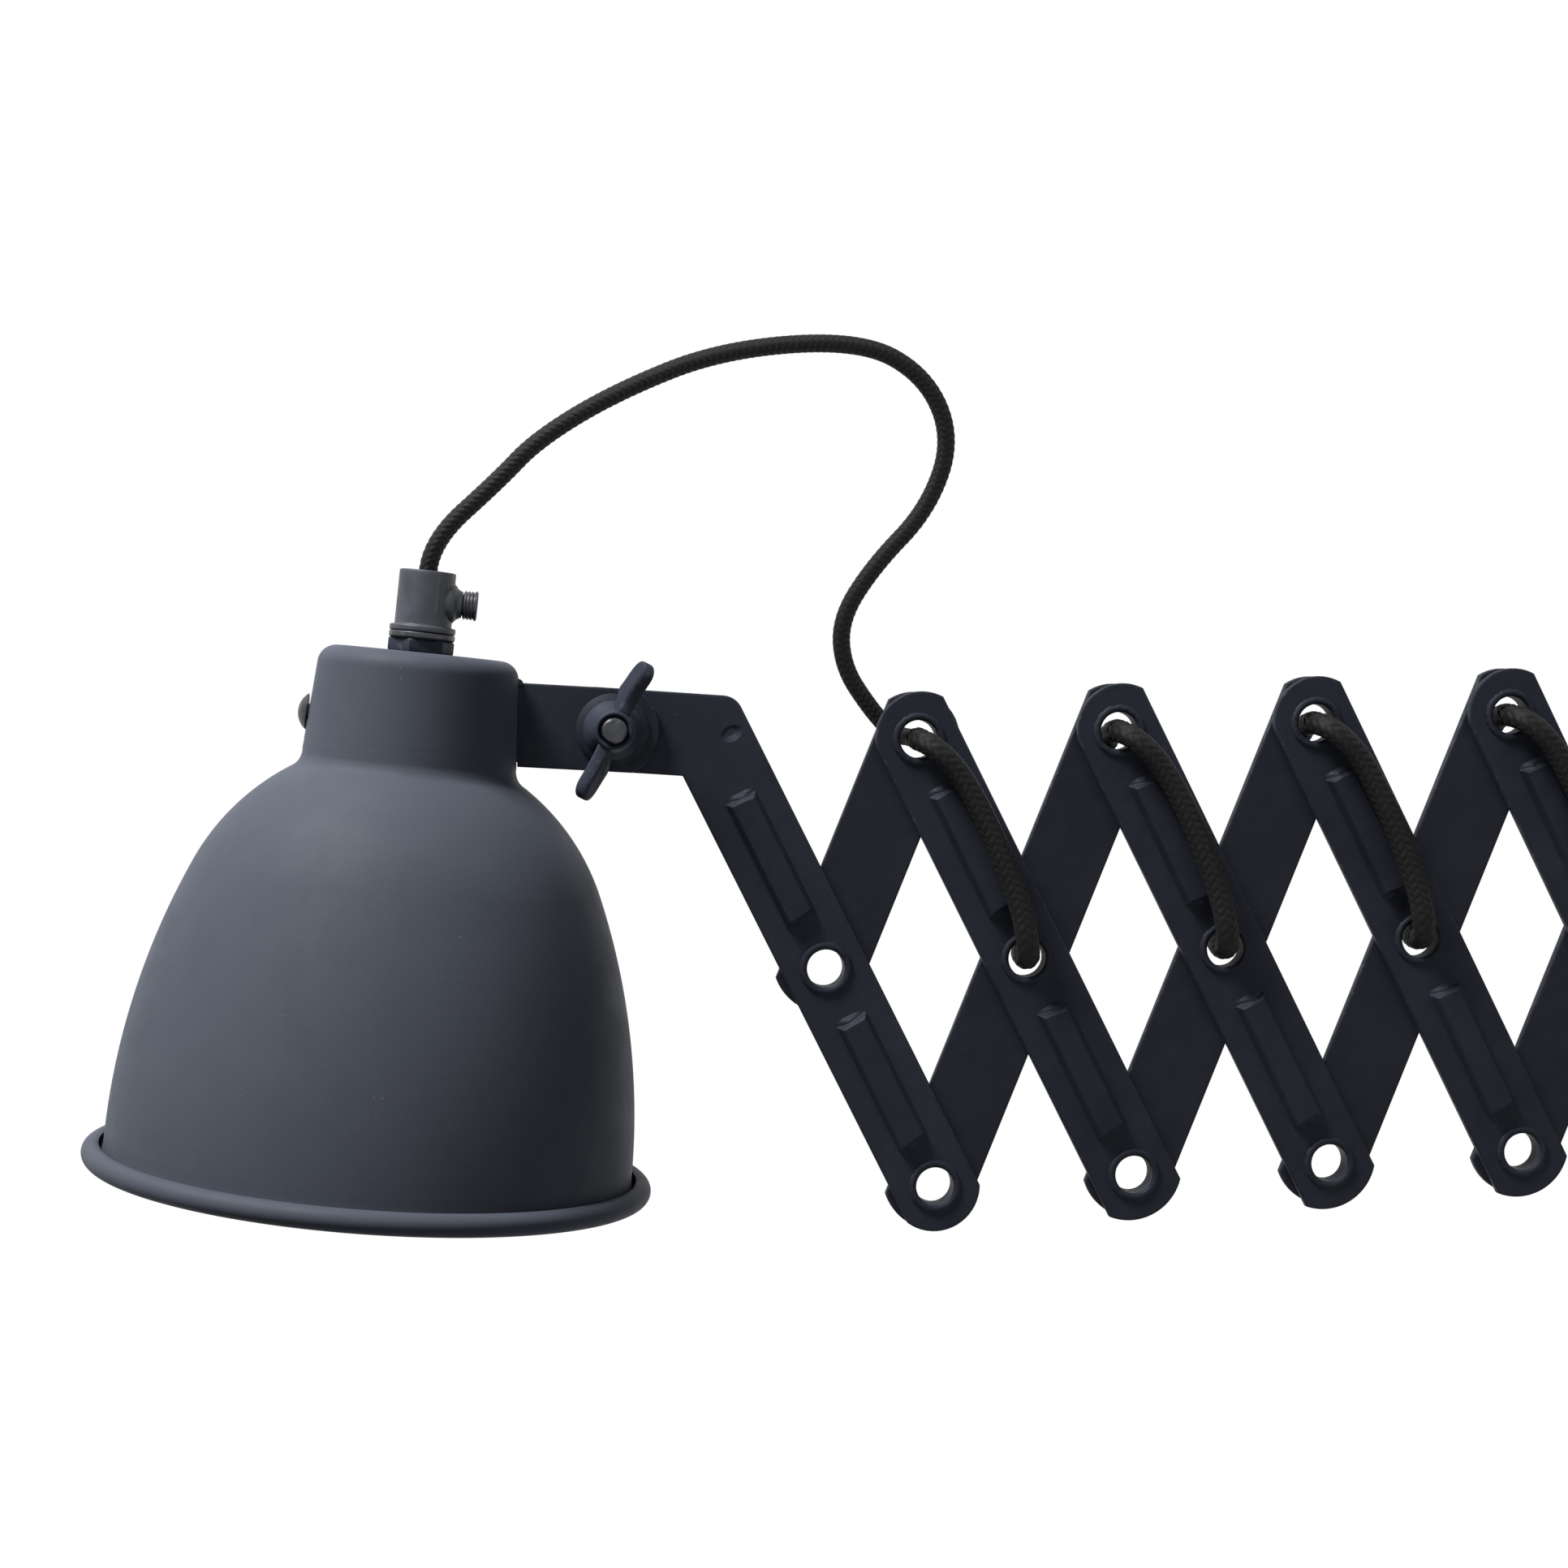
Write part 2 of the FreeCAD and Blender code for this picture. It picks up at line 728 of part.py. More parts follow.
cap_nut = new_body("cap_nut")
nut_sketch = Sketch(cap_nut, "XY_Plane", neck_height)
hexagon(nut_sketch, size("cap_nut_across"))
nut_sketch.circle(ZERO, ZERO, nipple_radius + nipple_play)
pad(cap_nut, nut_sketch, size("cap_nut_height"))
add_head_part(cap_nut)
cap_nut.Placement = head_place.multiply(Placement(Vector(), Rotation(Vector(0, 0, 1), 12)))

washer_low = neck_height + size("cap_nut_height")
flange_low = washer_low + size("grip_washer_height")
flange_high = flange_low + size("grip_flange_height")
grip_top = flange_high + size("grip_height")
grip_radius = size("grip_radius")
ring_radius = size("grip_ring_radius")
cord_radius = size("cord_diameter") / 2
cord_bore = cord_radius + size("cord_play")
nipple_top = flange_low + 5.5
add_head_part(ring_body("grip_washer", ring_radius, nipple_radius + nipple_play, washer_low, flange_low))

grip = turned_body(
    "cord_grip",
    [
        (nipple_radius + nipple_play, flange_low),
        (ring_radius, flange_low),
        (ring_radius, flange_high),
        (grip_radius + 0.2, flange_high),
        (grip_radius, grip_top),
        (cord_bore, grip_top),
        (cord_bore, nipple_top),
        (nipple_radius + nipple_play, nipple_top),
    ],
)
screw_level = flange_high + size("grip_screw_height")
boss_radius = size("grip_boss_radius")
boss = Sketch(grip, "YZ_Plane")
boss.circle(ZERO, screw_level, boss_radius)
boss_reach = grip_radius + 2.6
boss_pad = pad(grip, boss, boss_reach)
grip_bore = Sketch(grip, "XY_Plane", flange_low)
grip_bore.circle(ZERO, ZERO, nipple_radius + nipple_play)
pocket(grip, grip_bore, (nipple_top - flange_low) * 2)
cord_way = Sketch(grip, "XY_Plane", grip_top)
cord_way.circle(ZERO, ZERO, cord_bore)
pocket(grip, cord_way, (grip_top - flange_low) * 2)
screw_way = Sketch(grip, "YZ_Plane", boss_reach)
screw_way.circle(ZERO, screw_level, size("grip_screw_tip") + nipple_play)
pocket(grip, screw_way, (boss_reach - cord_radius) * 2)
add_head_part(grip)

grip_screw = new_body("grip_screw")
screw_profile = Sketch(grip_screw, "XZ_Plane")
screw_tip = size("grip_screw_tip")
screw_reach = size("grip_screw_reach")
screw_stub = size("grip_screw_radius")
tip_start = cord_bore + size("cord_play")
screw_profile.outline(
    [
        (tip_start, ZERO),
        (screw_reach, ZERO),
        (screw_reach, screw_stub - 0.4),
        (screw_reach - 0.4, screw_stub),
        (boss_reach, screw_stub),
        (boss_reach, screw_tip),
        (tip_start, screw_tip),
    ]
)
revolve(grip_screw, screw_profile, axis="H_Axis")
nodes.append(grip_screw)
grip_screw.Placement = head_place.multiply(Placement(Vector(0, 0, screw_level.value), Rotation()))

holder_top = neck_height - shade_wall
collar_low = holder_top - size("holder_collar_drop")
cap_low = holder_top - size("holder_cap_drop")
nipple_low = collar_low + 2
add_head_part(
    ring_body("threaded_nipple", nipple_radius, size("nipple_bore") / 2, nipple_low, nipple_top)
)
holder_radius = size("holder_radius")
holder_wall = size("holder_wall")
collar_radius = size("holder_collar")
dome_low = cap_low + size("holder_cap_drop") / 3
add_head_part(
    turned_body(
        "holder_cap",
        [
            (nipple_radius + nipple_play, holder_top),
            (nipple_radius + nipple_play, collar_low),
            (holder_radius - holder_wall, dome_low - holder_wall),
            (holder_radius - holder_wall, cap_low),
            (holder_radius, cap_low),
            (holder_radius, dome_low),
            (collar_radius, collar_low + holder_wall),
            (collar_radius, holder_top),
        ],
    )
)
skirt_low = cap_low - size("holder_skirt")
shell_inner = size("shell_bore") / 2
shell_outer = shell_inner + size("shell_wall")
shell_low = skirt_low + size("shell_inset")
shell_top = shell_low + size("shell_length")
floor_top = shell_top + size("holder_floor")
stub_top = floor_top + size("contact_stub")
contact_radius = size("contact_radius")
contact_low = shell_top + size("contact_gap")
contact_top = contact_low + size("contact_height")
add_head_part(
    turned_body(
        "holder_body",
        [
            (shell_outer, shell_top),
            (contact_radius + nipple_play, shell_top),
            (contact_radius + nipple_play, contact_top),
            (contact_radius / 2, contact_top),
            (contact_radius / 2, floor_top),
            (shell_outer, floor_top),
            (holder_radius - holder_wall, cap_low),
            (holder_radius, cap_low),
            (holder_radius - 1, skirt_low),
            (shell_outer, skirt_low),
        ],
    )
)
add_head_part(ring_body("screw_shell", shell_outer, shell_inner, shell_low, shell_top))
add_head_part(
    turned_body(
        "centre_contact",
        [
            (ZERO, contact_low),
            (contact_radius, contact_low),
            (contact_radius, contact_top),
            (contact_radius / 2, contact_top),
            (contact_radius / 2, stub_top),
            (ZERO, stub_top),
        ],
    )
)

inner_lead = document.addObject("Part::Cylinder", "inner_lead")
inner_lead.Label = "inner_lead"
inner_lead.setExpression("Radius", cord_radius.formula)
inner_lead.setExpression("Height", (grip_top - stub_top).formula)
inner_lead.Placement = head_place.multiply(Placement(Vector(0, 0, stub_top.value), Rotation()))
nodes.append(inner_lead)

# The neck screw points along -X of the shade's frame.
neck_at_screw = neck_base - neck_slope * (screw_height - fillet_run)
dome = size("neck_screw_dome")
head_radius = size("neck_screw_head")
neck_screw = new_body("neck_screw")
neck_screw_profile = Sketch(neck_screw, "XZ_Plane")
seat = -neck_at_screw - neck_slope * head_radius
dome_radius = (head_radius * head_radius + dome * dome) / (2 * dome)
shank_end = size("neck_nut_height") + shade_wall + 3
neck_screw_profile.outline(
    [
        (seat - dome, ZERO),
        (seat + shank_end, ZERO),
        (seat + shank_end, screw_radius),
        (seat, screw_radius),
        (seat, head_radius),
    ],
    {4: (dome_radius, 1)},
)
revolve(neck_screw, neck_screw_profile, axis="H_Axis")
nodes.append(neck_screw)
neck_screw.Placement = head_place.multiply(Placement(Vector(0, 0, screw_height.value), Rotation()))

neck_nut = new_body("neck_screw_nut")
nut_side = size("neck_nut_across") / 2
inner_neck = neck_at_screw - shade_wall - neck_slope * nut_side
neck_nut_sketch = Sketch(neck_nut, "YZ_Plane", -root(inner_neck * inner_neck - nut_side * nut_side))
hexagon(neck_nut_sketch, nut_side * 2)
neck_nut_sketch.circle(ZERO, ZERO, screw_radius + nipple_play)
pad(neck_nut, neck_nut_sketch, size("neck_nut_height"))
nodes.append(neck_nut)
neck_nut.Placement = neck_screw.Placement

# ---------------------------------------------------------------- clamp bolt and wing nut

bolt_radius = size("bolt_diameter") / 2
bolt_place = Placement(Vector(bolt_x, 0, bolt_z), Rotation())
washer_back = lug_front
washer_front = washer_back + size("washer_height")
nut_back = washer_front + size("nut_gap")
nut_front = nut_back + size("wing_nut_height")

clamp_bolt = new_body("clamp_bolt")
shank = Sketch(clamp_bolt, "XZ_Plane")
shank.circle(ZERO, ZERO, bolt_radius)
pad(clamp_bolt, shank, nut_front + 1.5)
bolt_head = Sketch(clamp_bolt, "XZ_Plane", bar_back)
hexagon(bolt_head, size("bolt_head_across"))
pad(clamp_bolt, bolt_head, size("bolt_head_height") + bar_back, reversed_way=True)
clamp_bolt.Placement = bolt_place
nodes.append(clamp_bolt)

clamp_washer = new_body("clamp_washer")
washer_sketch = Sketch(clamp_washer, "XY_Plane")
washer_radius = size("washer_radius")
washer_hole = bolt_radius + size("bolt_play")
washer_sketch.outline(
    [
        (washer_hole, -washer_back),
        (washer_radius, -washer_back),
        (washer_radius, -washer_back - 0.9),
        (washer_radius - 2.2, -washer_front),
        (washer_hole, -washer_front),
    ]
)
revolve(clamp_washer, washer_sketch)
clamp_washer.Placement = bolt_place
nodes.append(clamp_washer)

wing_nut = new_body("wing_nut")
hub_sketch = Sketch(wing_nut, "XY_Plane")
nut_bore = bolt_radius + size("nut_gap") / 2
hub_sketch.outline(
    [
        (nut_bore, -nut_back),
        (size("wing_base_radius"), -nut_back),
        (size("wing_base_radius"), -nut_back - 1.5),
        (size("wing_hub_radius") + 0.8, -nut_front + 3),
        (size("wing_hub_radius"), -nut_front),
        (nut_bore, -nut_front),
    ]
)
revolve(wing_nut, hub_sketch)
wing_half = size("wing_span") / 2
for side in (1, -1):
    wing = Sketch(wing_nut, "XY_Plane")
    inner = (nut_bore + 0.6) * side
    shoulder = (wing_half - 7) * side
    tip = wing_half * side
    wing.outline(
        [
            (inner, -nut_back - 3),
            (shoulder, -nut_back - 6),
            (tip, -nut_back - 11),
            (tip - 2 * side, -nut_back - 15),
            (tip - 6 * side, -nut_back - 15.5),
            (inner, -nut_front + 1.5),
        ]
    )
    pad(wing_nut, wing, size("wing_thickness"), symmetric=True)
wing_nut.Placement = bolt_place.multiply(Placement(Vector(), about_y(-sheet.get("wing_turn"))))
nodes.append(wing_nut)

# ---------------------------------------------------------------- wall bracket

rod_x = -sheet.get("rod_offset")
sleeve_end = size("upper_sleeve_length") / 2 + size("collar_play") + size("collar_height")
ear_half = rise_size + sleeve_end + size("ear_clearance")
ear_thickness = size("ear_thickness")
plate_thickness = size("plate_thickness")
rod_radius = size("rod_diameter") / 2
rod_end = size("rod_end_diameter") / 2

wall_plate = new_body("wall_plate")
plate_sketch = Sketch(wall_plate, "YZ_Plane", -plate_thickness)
plate_y = size("plate_width") / 2
plate_z = ear_half + ear_thickness + size("plate_overhang")
corner = size("plate_corner")
plate_sketch.outline(
    [
        (-plate_y + corner, -plate_z),
        (plate_y - corner, -plate_z),
        (plate_y, -plate_z + corner),
        (plate_y, plate_z - corner),
        (plate_y - corner, plate_z),
        (-plate_y + corner, plate_z),
        (-plate_y, plate_z - corner),
        (-plate_y, -plate_z + corner),
    ],
    {1: (corner, 1), 3: (corner, 1), 5: (corner, 1), 7: (corner, 1)},
)
pad(wall_plate, plate_sketch, plate_thickness)
plate_holes = Sketch(wall_plate, "YZ_Plane")
screw_z = plate_z - size("plate_screw_edge")
for hole_z in (screw_z, -screw_z):
    plate_holes.circle(ZERO, hole_z, size("plate_screw_diameter") / 2)
entry_height = rise_size - size("entry_drop")
plate_holes.circle(size("entry_side"), entry_height, size("grommet_groove"))
pocket(wall_plate, plate_holes, plate_thickness * 4)
nodes.append(wall_plate)



def ear(label, height):
    """A flat ear from the plate to the rod, whose underside is at that height."""
    body = new_body(label)
    sketch = Sketch(body, "XY_Plane", height)
    root_x = size("rod_offset") - plate_thickness
    corners = [(root_x, -half_width), (root_x, half_width), (-nose_inset, half_width), (-nose_inset, -half_width)]
    sketch.outline(corners, {2: (bar_nose, 1)})
    pad(body, sketch, ear_thickness)
    hole = Sketch(body, "XY_Plane", height)
    hole.circle(ZERO, ZERO, rod_end + size("sleeve_play"))
    pocket(body, hole, ear_thickness * 4)
    body.Placement = Placement(Vector(rod_x, 0, 0), Rotation())
    nodes.append(body)


ear("upper_ear", ear_half)
ear("lower_ear", -ear_half - ear_thickness)

rod_nut_height = size("rod_nut_height")
rod_tip = ear_half + ear_thickness + rod_nut_height + 1
guide_rod = turned_body(
    "guide_rod",
    [
        (ZERO, -rod_tip),
        (rod_end, -rod_tip),
        (rod_end, -ear_half),
        (rod_radius, -ear_half),
        (rod_radius, ear_half),
        (rod_end, ear_half),
        (rod_end, rod_tip),
        (ZERO, rod_tip),
    ],
)
guide_rod.Placement = Placement(Vector(rod_x, 0, 0), Rotation())
nodes.append(guide_rod)

rod_nuts = new_body("rod_nuts")
for level in (ear_half + ear_thickness, -ear_half - ear_thickness - rod_nut_height):
    rod_nut_sketch = Sketch(rod_nuts, "XY_Plane", level)
    hexagon(rod_nut_sketch, size("rod_nut_across"))
    rod_nut_sketch.circle(ZERO, ZERO, rod_end + size("sleeve_play") / 2)
    pad(rod_nuts, rod_nut_sketch, rod_nut_height)
rod_nuts.Placement = Placement(Vector(rod_x, 0, 0), Rotation())
nodes.append(rod_nuts)

sleeve_radius = size("sleeve_radius")
sleeve_bore = rod_radius + size("sleeve_play")
pivot_offset = size("pivot_offset")


def sleeve(label, length, height):
    """A tube that turns on the rod, at that height."""
    body = ring_body(label, sleeve_radius, sleeve_bore, -length / 2, length / 2)
    body.Placement = Placement(Vector(rod_x, 0, height), Rotation())
    nodes.append(body)


def pivot_lug(label, plane_y, height):
    """The flat lug welded to a sleeve, with the scissor's end pivot in its nose."""
    body = new_body(label)
    sketch = Sketch(body, "XZ_Plane")
    low = -pivot_offset - nose_inset
    high = -sleeve_radius
    corners = [(low, -half_width), (high, -half_width), (high, half_width), (low, half_width)]
    sketch.outline(corners, {3: (bar_nose, 1)})
    pad(body, sketch, bar_thickness, symmetric=True)
    hole = Sketch(body, "XZ_Plane")
    hole.circle(-pivot_offset, ZERO, hole_radius)
    pocket(body, hole, bar_thickness * 2)
    body.Placement = Placement(Vector(rod_x, plane_y, height), Rotation())
    nodes.append(body)


sleeve("upper_sleeve", size("upper_sleeve_length"), half_rise)
sleeve("lower_sleeve", size("lower_sleeve_length"), -half_rise)
pivot_lug("upper_lug", front_y, half_rise)
pivot_lug("lower_lug", back_y, -half_rise)
eyelet_row("upper_eyelet", Placement(Vector(pivot_x, 0, half_rise), Rotation()), 1)

stop_collars = new_body("stop_collars")
collar_sketch = Sketch(stop_collars, "XZ_Plane")
collar_bore = rod_radius + 0.05
collar_near = size("upper_sleeve_length") / 2 + size("collar_play")
collar_far = collar_near + size("collar_height")
for low, high in ((collar_near, collar_far), (-collar_far, -collar_near)):
    collar_radius_outer = size("collar_radius")
    collar_sketch.outline(
        [(collar_bore, low), (collar_radius_outer, low), (collar_radius_outer, high), (collar_bore, high)]
    )
revolve(stop_collars, collar_sketch)
stop_collars.Placement = Placement(Vector(rod_x, 0, half_rise), Rotation())
nodes.append(stop_collars)

groove = size("grommet_groove")
grommet_lip = size("grommet_lip")
grommet = turned_body(
    "cable_grommet",
    [
        (cord_bore, ZERO),
        (groove - 0.1, ZERO),
        (groove - 0.1, plate_thickness),
        (size("grommet_radius"), plate_thickness),
        (size("grommet_radius") - 0.5, plate_thickness + grommet_lip),
        (cord_bore, plate_thickness + grommet_lip + 1),
    ],
)
grommet.Placement = Placement(
    Vector(0, sheet.get("entry_side"), entry_height.value), Rotation(Vector(0, 1, 0), -90)
)
nodes.append(grommet)

# ---------------------------------------------------------------- cord


def cord_path(points):
    """Straight runs joined by arcs; each arc is as large as its two runs allow."""
    edges = []
    radii = []
    start = points[0]
    for before, corner_point, after in zip(points, points[1:], points[2:]):
        back_run = before - corner_point
        next_run = after - corner_point
        turn = math.pi - back_run.getAngle(next_run)
        radius = 0.45 * min(back_run.Length, next_run.Length) / math.tan(turn / 2)
        cut = radius * math.tan(turn / 2)
        enter = corner_point + back_run.normalize() * cut
        leave = corner_point + next_run.normalize() * cut
        inward = (back_run + next_run).normalize()
        middle = corner_point + inward * (radius / math.cos(turn / 2) - radius)
        edges.append(Part.LineSegment(start, enter).toShape())
        edges.append(Part.Arc(enter, middle, leave).toShape())
        radii.append(radius)
        start = leave
    edges.append(Part.LineSegment(start, points[-1]).toShape())
    return Part.Wire(edges), radii


def cord_tube(label, points, diameter, place=None):
    """A round cord swept along its path, with its radii and volume printed."""
    points = [Vector(*point) for point in points]
    path, radii = cord_path(points)
    section = Part.Circle(points[0], points[1] - points[0], diameter / 2).toShape()
    tube = path.makePipeShell([Part.Wire([section])], True, False)
    expected = math.pi * diameter ** 2 / 4 * path.Length
    numbers = ", ".join(f"{radius:.1f}" for radius in radii)
    print(f"{label}: length {path.Length:.1f}, volume ratio {tube.Volume / expected:.4f}, radii {numbers}")
    feature = document.addObject("Part::Feature", label)
    feature.Label = label
    feature.Shape = tube
    if place is not None:
        feature.Placement = place
    nodes.append(feature)


laced = sheet.get("laced_diameter")
flex = sheet.get("cord_diameter")
over_lip = bar_front.value + lip.value + laced / 2
over_strip = (bar_front + size("strip_thickness")).value + laced / 2

# Laced stretches in a bar's own frame: along the bar, depth, and across it.
FRONT_LACE = [
    (-reach, 0.0, 0.0),
    (-reach, -over_lip + 2.0, 0.0),
    (-reach + 5.0, -over_lip - 3.0, 3.0),
    (-reach + 16.0, -over_strip - 0.1, 6.2),
    (-reach + 36.0, -over_strip - 0.3, 6.6),
    (-16.0, -over_strip - 0.1, 4.6),
    (-5.0, -over_lip - 2.6, 1.2),
    (0.0, -over_lip + 2.0, 0.0),
    (0.0, 0.0, 0.0),
]
BACK_LACE = [
    (0.0, 0.0, 0.0),
    (0.0, over_lip - 1.8, 0.0),
    (5.5, over_lip + 2.4, 0.4),
    (18.0, over_lip + 1.0, 1.2),
    (38.0, over_lip + 0.6, 0.2),
    (reach - 16.0, over_lip + 1.2, -0.8),
    (reach - 5.0, over_lip + 2.4, -0.3),
    (reach, over_lip - 1.8, 0.0),
    (reach, 0.0, 0.0),
]
for cell in range(1, cell_count):
    cord_tube(f"front_lace_{cell}", FRONT_LACE, laced, front_place(cell))
    cord_tube(f"back_lace_{cell}", BACK_LACE, laced, back_place(cell))

# The free loop from the cord grip, over the bent arm, to the first upper eyelet: offsets from the
# first crossing along X and Z in units of the scissor's half height, with the depth between.
LOOP_HEAD = [
    (-1.354, -4.8, 2.194),
    (-1.177, -4.7, 2.368),
    (-0.829, -4.3, 2.564),
    (-0.352, -3.4, 2.740),
]
LOOP_CROWN = (-0.045, -2.5, 2.755)
LOOP_ARM = [
    (0.262, -1.6, 2.770),
    (0.551, -0.4, 2.604),
    (0.663, 1.6, 2.325),
    (0.548, 4.2, 2.020),
    (0.300, 6.6, 1.779),
    (0.144, 8.8, 1.549),
    (0.151, 10.6, 1.335),
    (0.269, 11.8, 1.143),
]
first_x = crossing_x(0)
upper_x = first_x + half_pitch
grip_mouth = head_place.multVec(Vector(0, 0, grip_top.value))
grip_way = head_place.Rotation.multVec(Vector(0, 0, 1))


def loop_point(point):
    """A point of the loop's route in the lamp's own frame."""
    return (first_x + point[0] * half_rise, point[1], point[2] * half_rise)


crown = loop_point(LOOP_CROWN)
head_route = [tuple(grip_mouth), tuple(grip_mouth + grip_way * flex * 1.6)]
head_route += [loop_point(point) for point in LOOP_HEAD] + [crown]
arm_route = [crown] + [loop_point(point) for point in LOOP_ARM]
arm_route += [(upper_x - flex, 11.8, half_rise + 1.5), (upper_x, 7.5, half_rise), (upper_x, 0.0, half_rise)]
entry_side = sheet.get("entry_side")
wall_route = [
    (pivot_x, 0.0, half_rise),
    (pivot_x, -8.0, half_rise),
    (pivot_x + 5.0, -13.5, half_rise - 2.0),
    (pivot_x + 18.0, -17.0, half_rise - 9.0),
    (pivot_x + 34.0, entry_side, half_rise - 16.0),
    (-14.0, entry_side, entry_height.value),
    (0.0, entry_side, entry_height.value),
]
for label, points in (("loop_cord_head", head_route), ("loop_cord_arm", arm_route), ("wall_cord", wall_route)):
    cord_tube(label, points, flex)

# ---------------------------------------------------------------- checks and files

document.recompute()
for item in document.Objects:
    if any(word in ("Invalid", "Error") for word in item.State):
        raise ValueError(f"{item.Label} did not build: {item.State}")
os.makedirs("parts", exist_ok=True)
for node in nodes:
    shape = node.Shape
    if shape.isNull() or not shape.isValid():
        raise ValueError(f"{node.Label} has no valid shape")
    if any(solid.Volume <= 0 for solid in shape.Solids) or not shape.Solids:
        raise ValueError(f"{node.Label} has no solid")
    shape.exportStep(os.path.join("parts", f"{node.Label}.step"))
print(len(nodes), "nodes")
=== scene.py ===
"""The looks of an accordion wall lamp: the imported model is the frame, and every piece rides on it."""

import json
import math

import bpy
import numpy as np
from mathutils import Matrix, Vector
from mathutils.geometry import tessellate_polygon


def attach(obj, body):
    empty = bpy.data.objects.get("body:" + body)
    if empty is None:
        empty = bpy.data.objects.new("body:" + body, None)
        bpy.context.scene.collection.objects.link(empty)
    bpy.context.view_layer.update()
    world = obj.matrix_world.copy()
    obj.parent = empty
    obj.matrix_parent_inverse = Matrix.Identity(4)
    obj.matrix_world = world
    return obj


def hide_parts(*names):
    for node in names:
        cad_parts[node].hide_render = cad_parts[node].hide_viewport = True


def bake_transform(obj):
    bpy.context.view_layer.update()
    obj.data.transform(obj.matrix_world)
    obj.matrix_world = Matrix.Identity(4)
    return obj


print(bpy.app.version)
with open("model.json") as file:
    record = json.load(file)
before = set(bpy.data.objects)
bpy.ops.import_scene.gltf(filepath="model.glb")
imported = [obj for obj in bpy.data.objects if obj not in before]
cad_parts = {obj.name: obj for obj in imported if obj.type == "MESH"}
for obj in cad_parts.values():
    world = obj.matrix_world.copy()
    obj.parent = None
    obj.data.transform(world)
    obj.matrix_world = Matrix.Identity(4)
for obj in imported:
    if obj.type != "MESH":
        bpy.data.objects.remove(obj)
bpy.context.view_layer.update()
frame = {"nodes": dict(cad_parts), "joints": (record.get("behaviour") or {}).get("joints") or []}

# Sizes are in millimetres, as in the drawings; meshes are made in metres.
MM = 0.001
TURN = 2 * math.pi

# ---- camera

CAMERA_PLACE = Vector((-442.05, -781.36, 89.72))
CAMERA_LEAN = Vector((2.32, -2.30, 6.03))       # rotation vector in degrees, from a level look along +Y
FOCAL_SHARE = 3200 / 1932                       # focal length over the picture's width


def set_camera():
    """The photograph's camera: a level look along +Y, leaned by a small rotation."""
    data = bpy.data.cameras.new("camera")
    data.sensor_width = 36.0
    data.lens = 36.0 * FOCAL_SHARE
    data.clip_start = 0.01
    camera = bpy.data.objects.new("camera", data)
    bpy.context.scene.collection.objects.link(camera)
    angle = math.radians(CAMERA_LEAN.length)
    right, forward, up = Matrix.Rotation(angle, 3, CAMERA_LEAN.normalized())
    turned = Matrix((right, up, -forward)).transposed()
    camera.matrix_world = Matrix.Translation(CAMERA_PLACE * MM) @ turned.to_4x4()
    bpy.context.scene.camera = camera


set_camera()

# ---- places, from the frame

joint_at = {joint["name"]: np.array(joint["pos_m"]) / MM for joint in frame["joints"]}
CELLS = 5
first_crossing = joint_at["middle_pivot_0"]
first_upper = joint_at["upper_pivot_1"]
half_rise = first_upper[2]
half_pitch = first_upper[0] - first_crossing[0]
rest_angle = math.atan2(half_rise, half_pitch)
REACH = math.hypot(half_rise, half_pitch)
bolt_at = joint_at["head_tilt"]


def about_y(angle):
    """Rotation matrix about +Y."""
    cos, sin = math.cos(angle), math.sin(angle)
    return np.array([[cos, 0, sin], [0, 1, 0], [-sin, 0, cos]])


class Place:
    """A part's own frame: a rotation and an origin, in millimetres."""

    def __init__(self, origin, turn=None):
        self.origin = np.array(origin, float)
        self.turn = np.eye(3) if turn is None else turn

    def points(self, local):
        """Points of this frame, in the lamp's own."""
        return np.asarray(local, float) @ self.turn.T + self.origin

    def moved(self, local, turn=None):
        """A frame whose origin is a point of this one."""
        return Place(self.points([local])[0], self.turn if turn is None else self.turn @ turn)


def front_place(cell):
    """The frame of a front bar: its middle hole, with the lower end along +X."""
    return Place(joint_at[f"middle_pivot_{cell}"], about_y(rest_angle))


def back_place(cell):
    """The frame of a back bar: its middle hole, with the upper end along +X."""
    return Place(joint_at[f"middle_pivot_{cell}"], about_y(-rest_angle))


# The shade's frame: its axis is Z, and 0 is where the neck meets the shoulder.
HEAD_LEAN = about_y(math.radians(8.0))
HEAD_Y = -4.85
BOLT_REACH = 58.7
BOLT_HEIGHT = 18.0
head_place = Place(
    np.array([bolt_at[0], HEAD_Y, bolt_at[2]]) - HEAD_LEAN @ np.array([BOLT_REACH, 0, BOLT_HEIGHT]), HEAD_LEAN
)

# ---- outlines


def around(angles):
    """Points of the unit circle."""
    return np.column_stack([np.cos(angles), np.sin(angles)])


def between(at, run, rows):
    """Rows read off at places along a run."""
    return np.column_stack([np.interp(at, run, column) for column in rows.T])


def arc(start, end, radius, side, count=12):
    """Points from start to end on a circle; side 1 has its centre on the left of the way."""
    start, end = np.array(start, float), np.array(end, float)
    chord = end - start
    length = np.hypot(*chord)
    left = np.array([-chord[1], chord[0]]) / length
    centre = (start + end) / 2 + left * side * math.sqrt(max(radius * radius - length * length / 4, 0))
    first = math.atan2(*(start - centre)[::-1])
    sweep = 2 * math.asin(min(length / 2 / radius, 1)) * side
    angles = first + sweep * np.linspace(0, 1, count)
    return centre + radius * around(angles)


def circle(centre, radius):
    """A hole's outline, clockwise."""
    angles = -np.linspace(0, TURN, 64, endpoint=False)
    return np.array(centre) + radius * around(angles)


def unit(rows):
    """The rows, each made of length 1."""
    return rows / np.linalg.norm(rows, axis=1)[:, None]


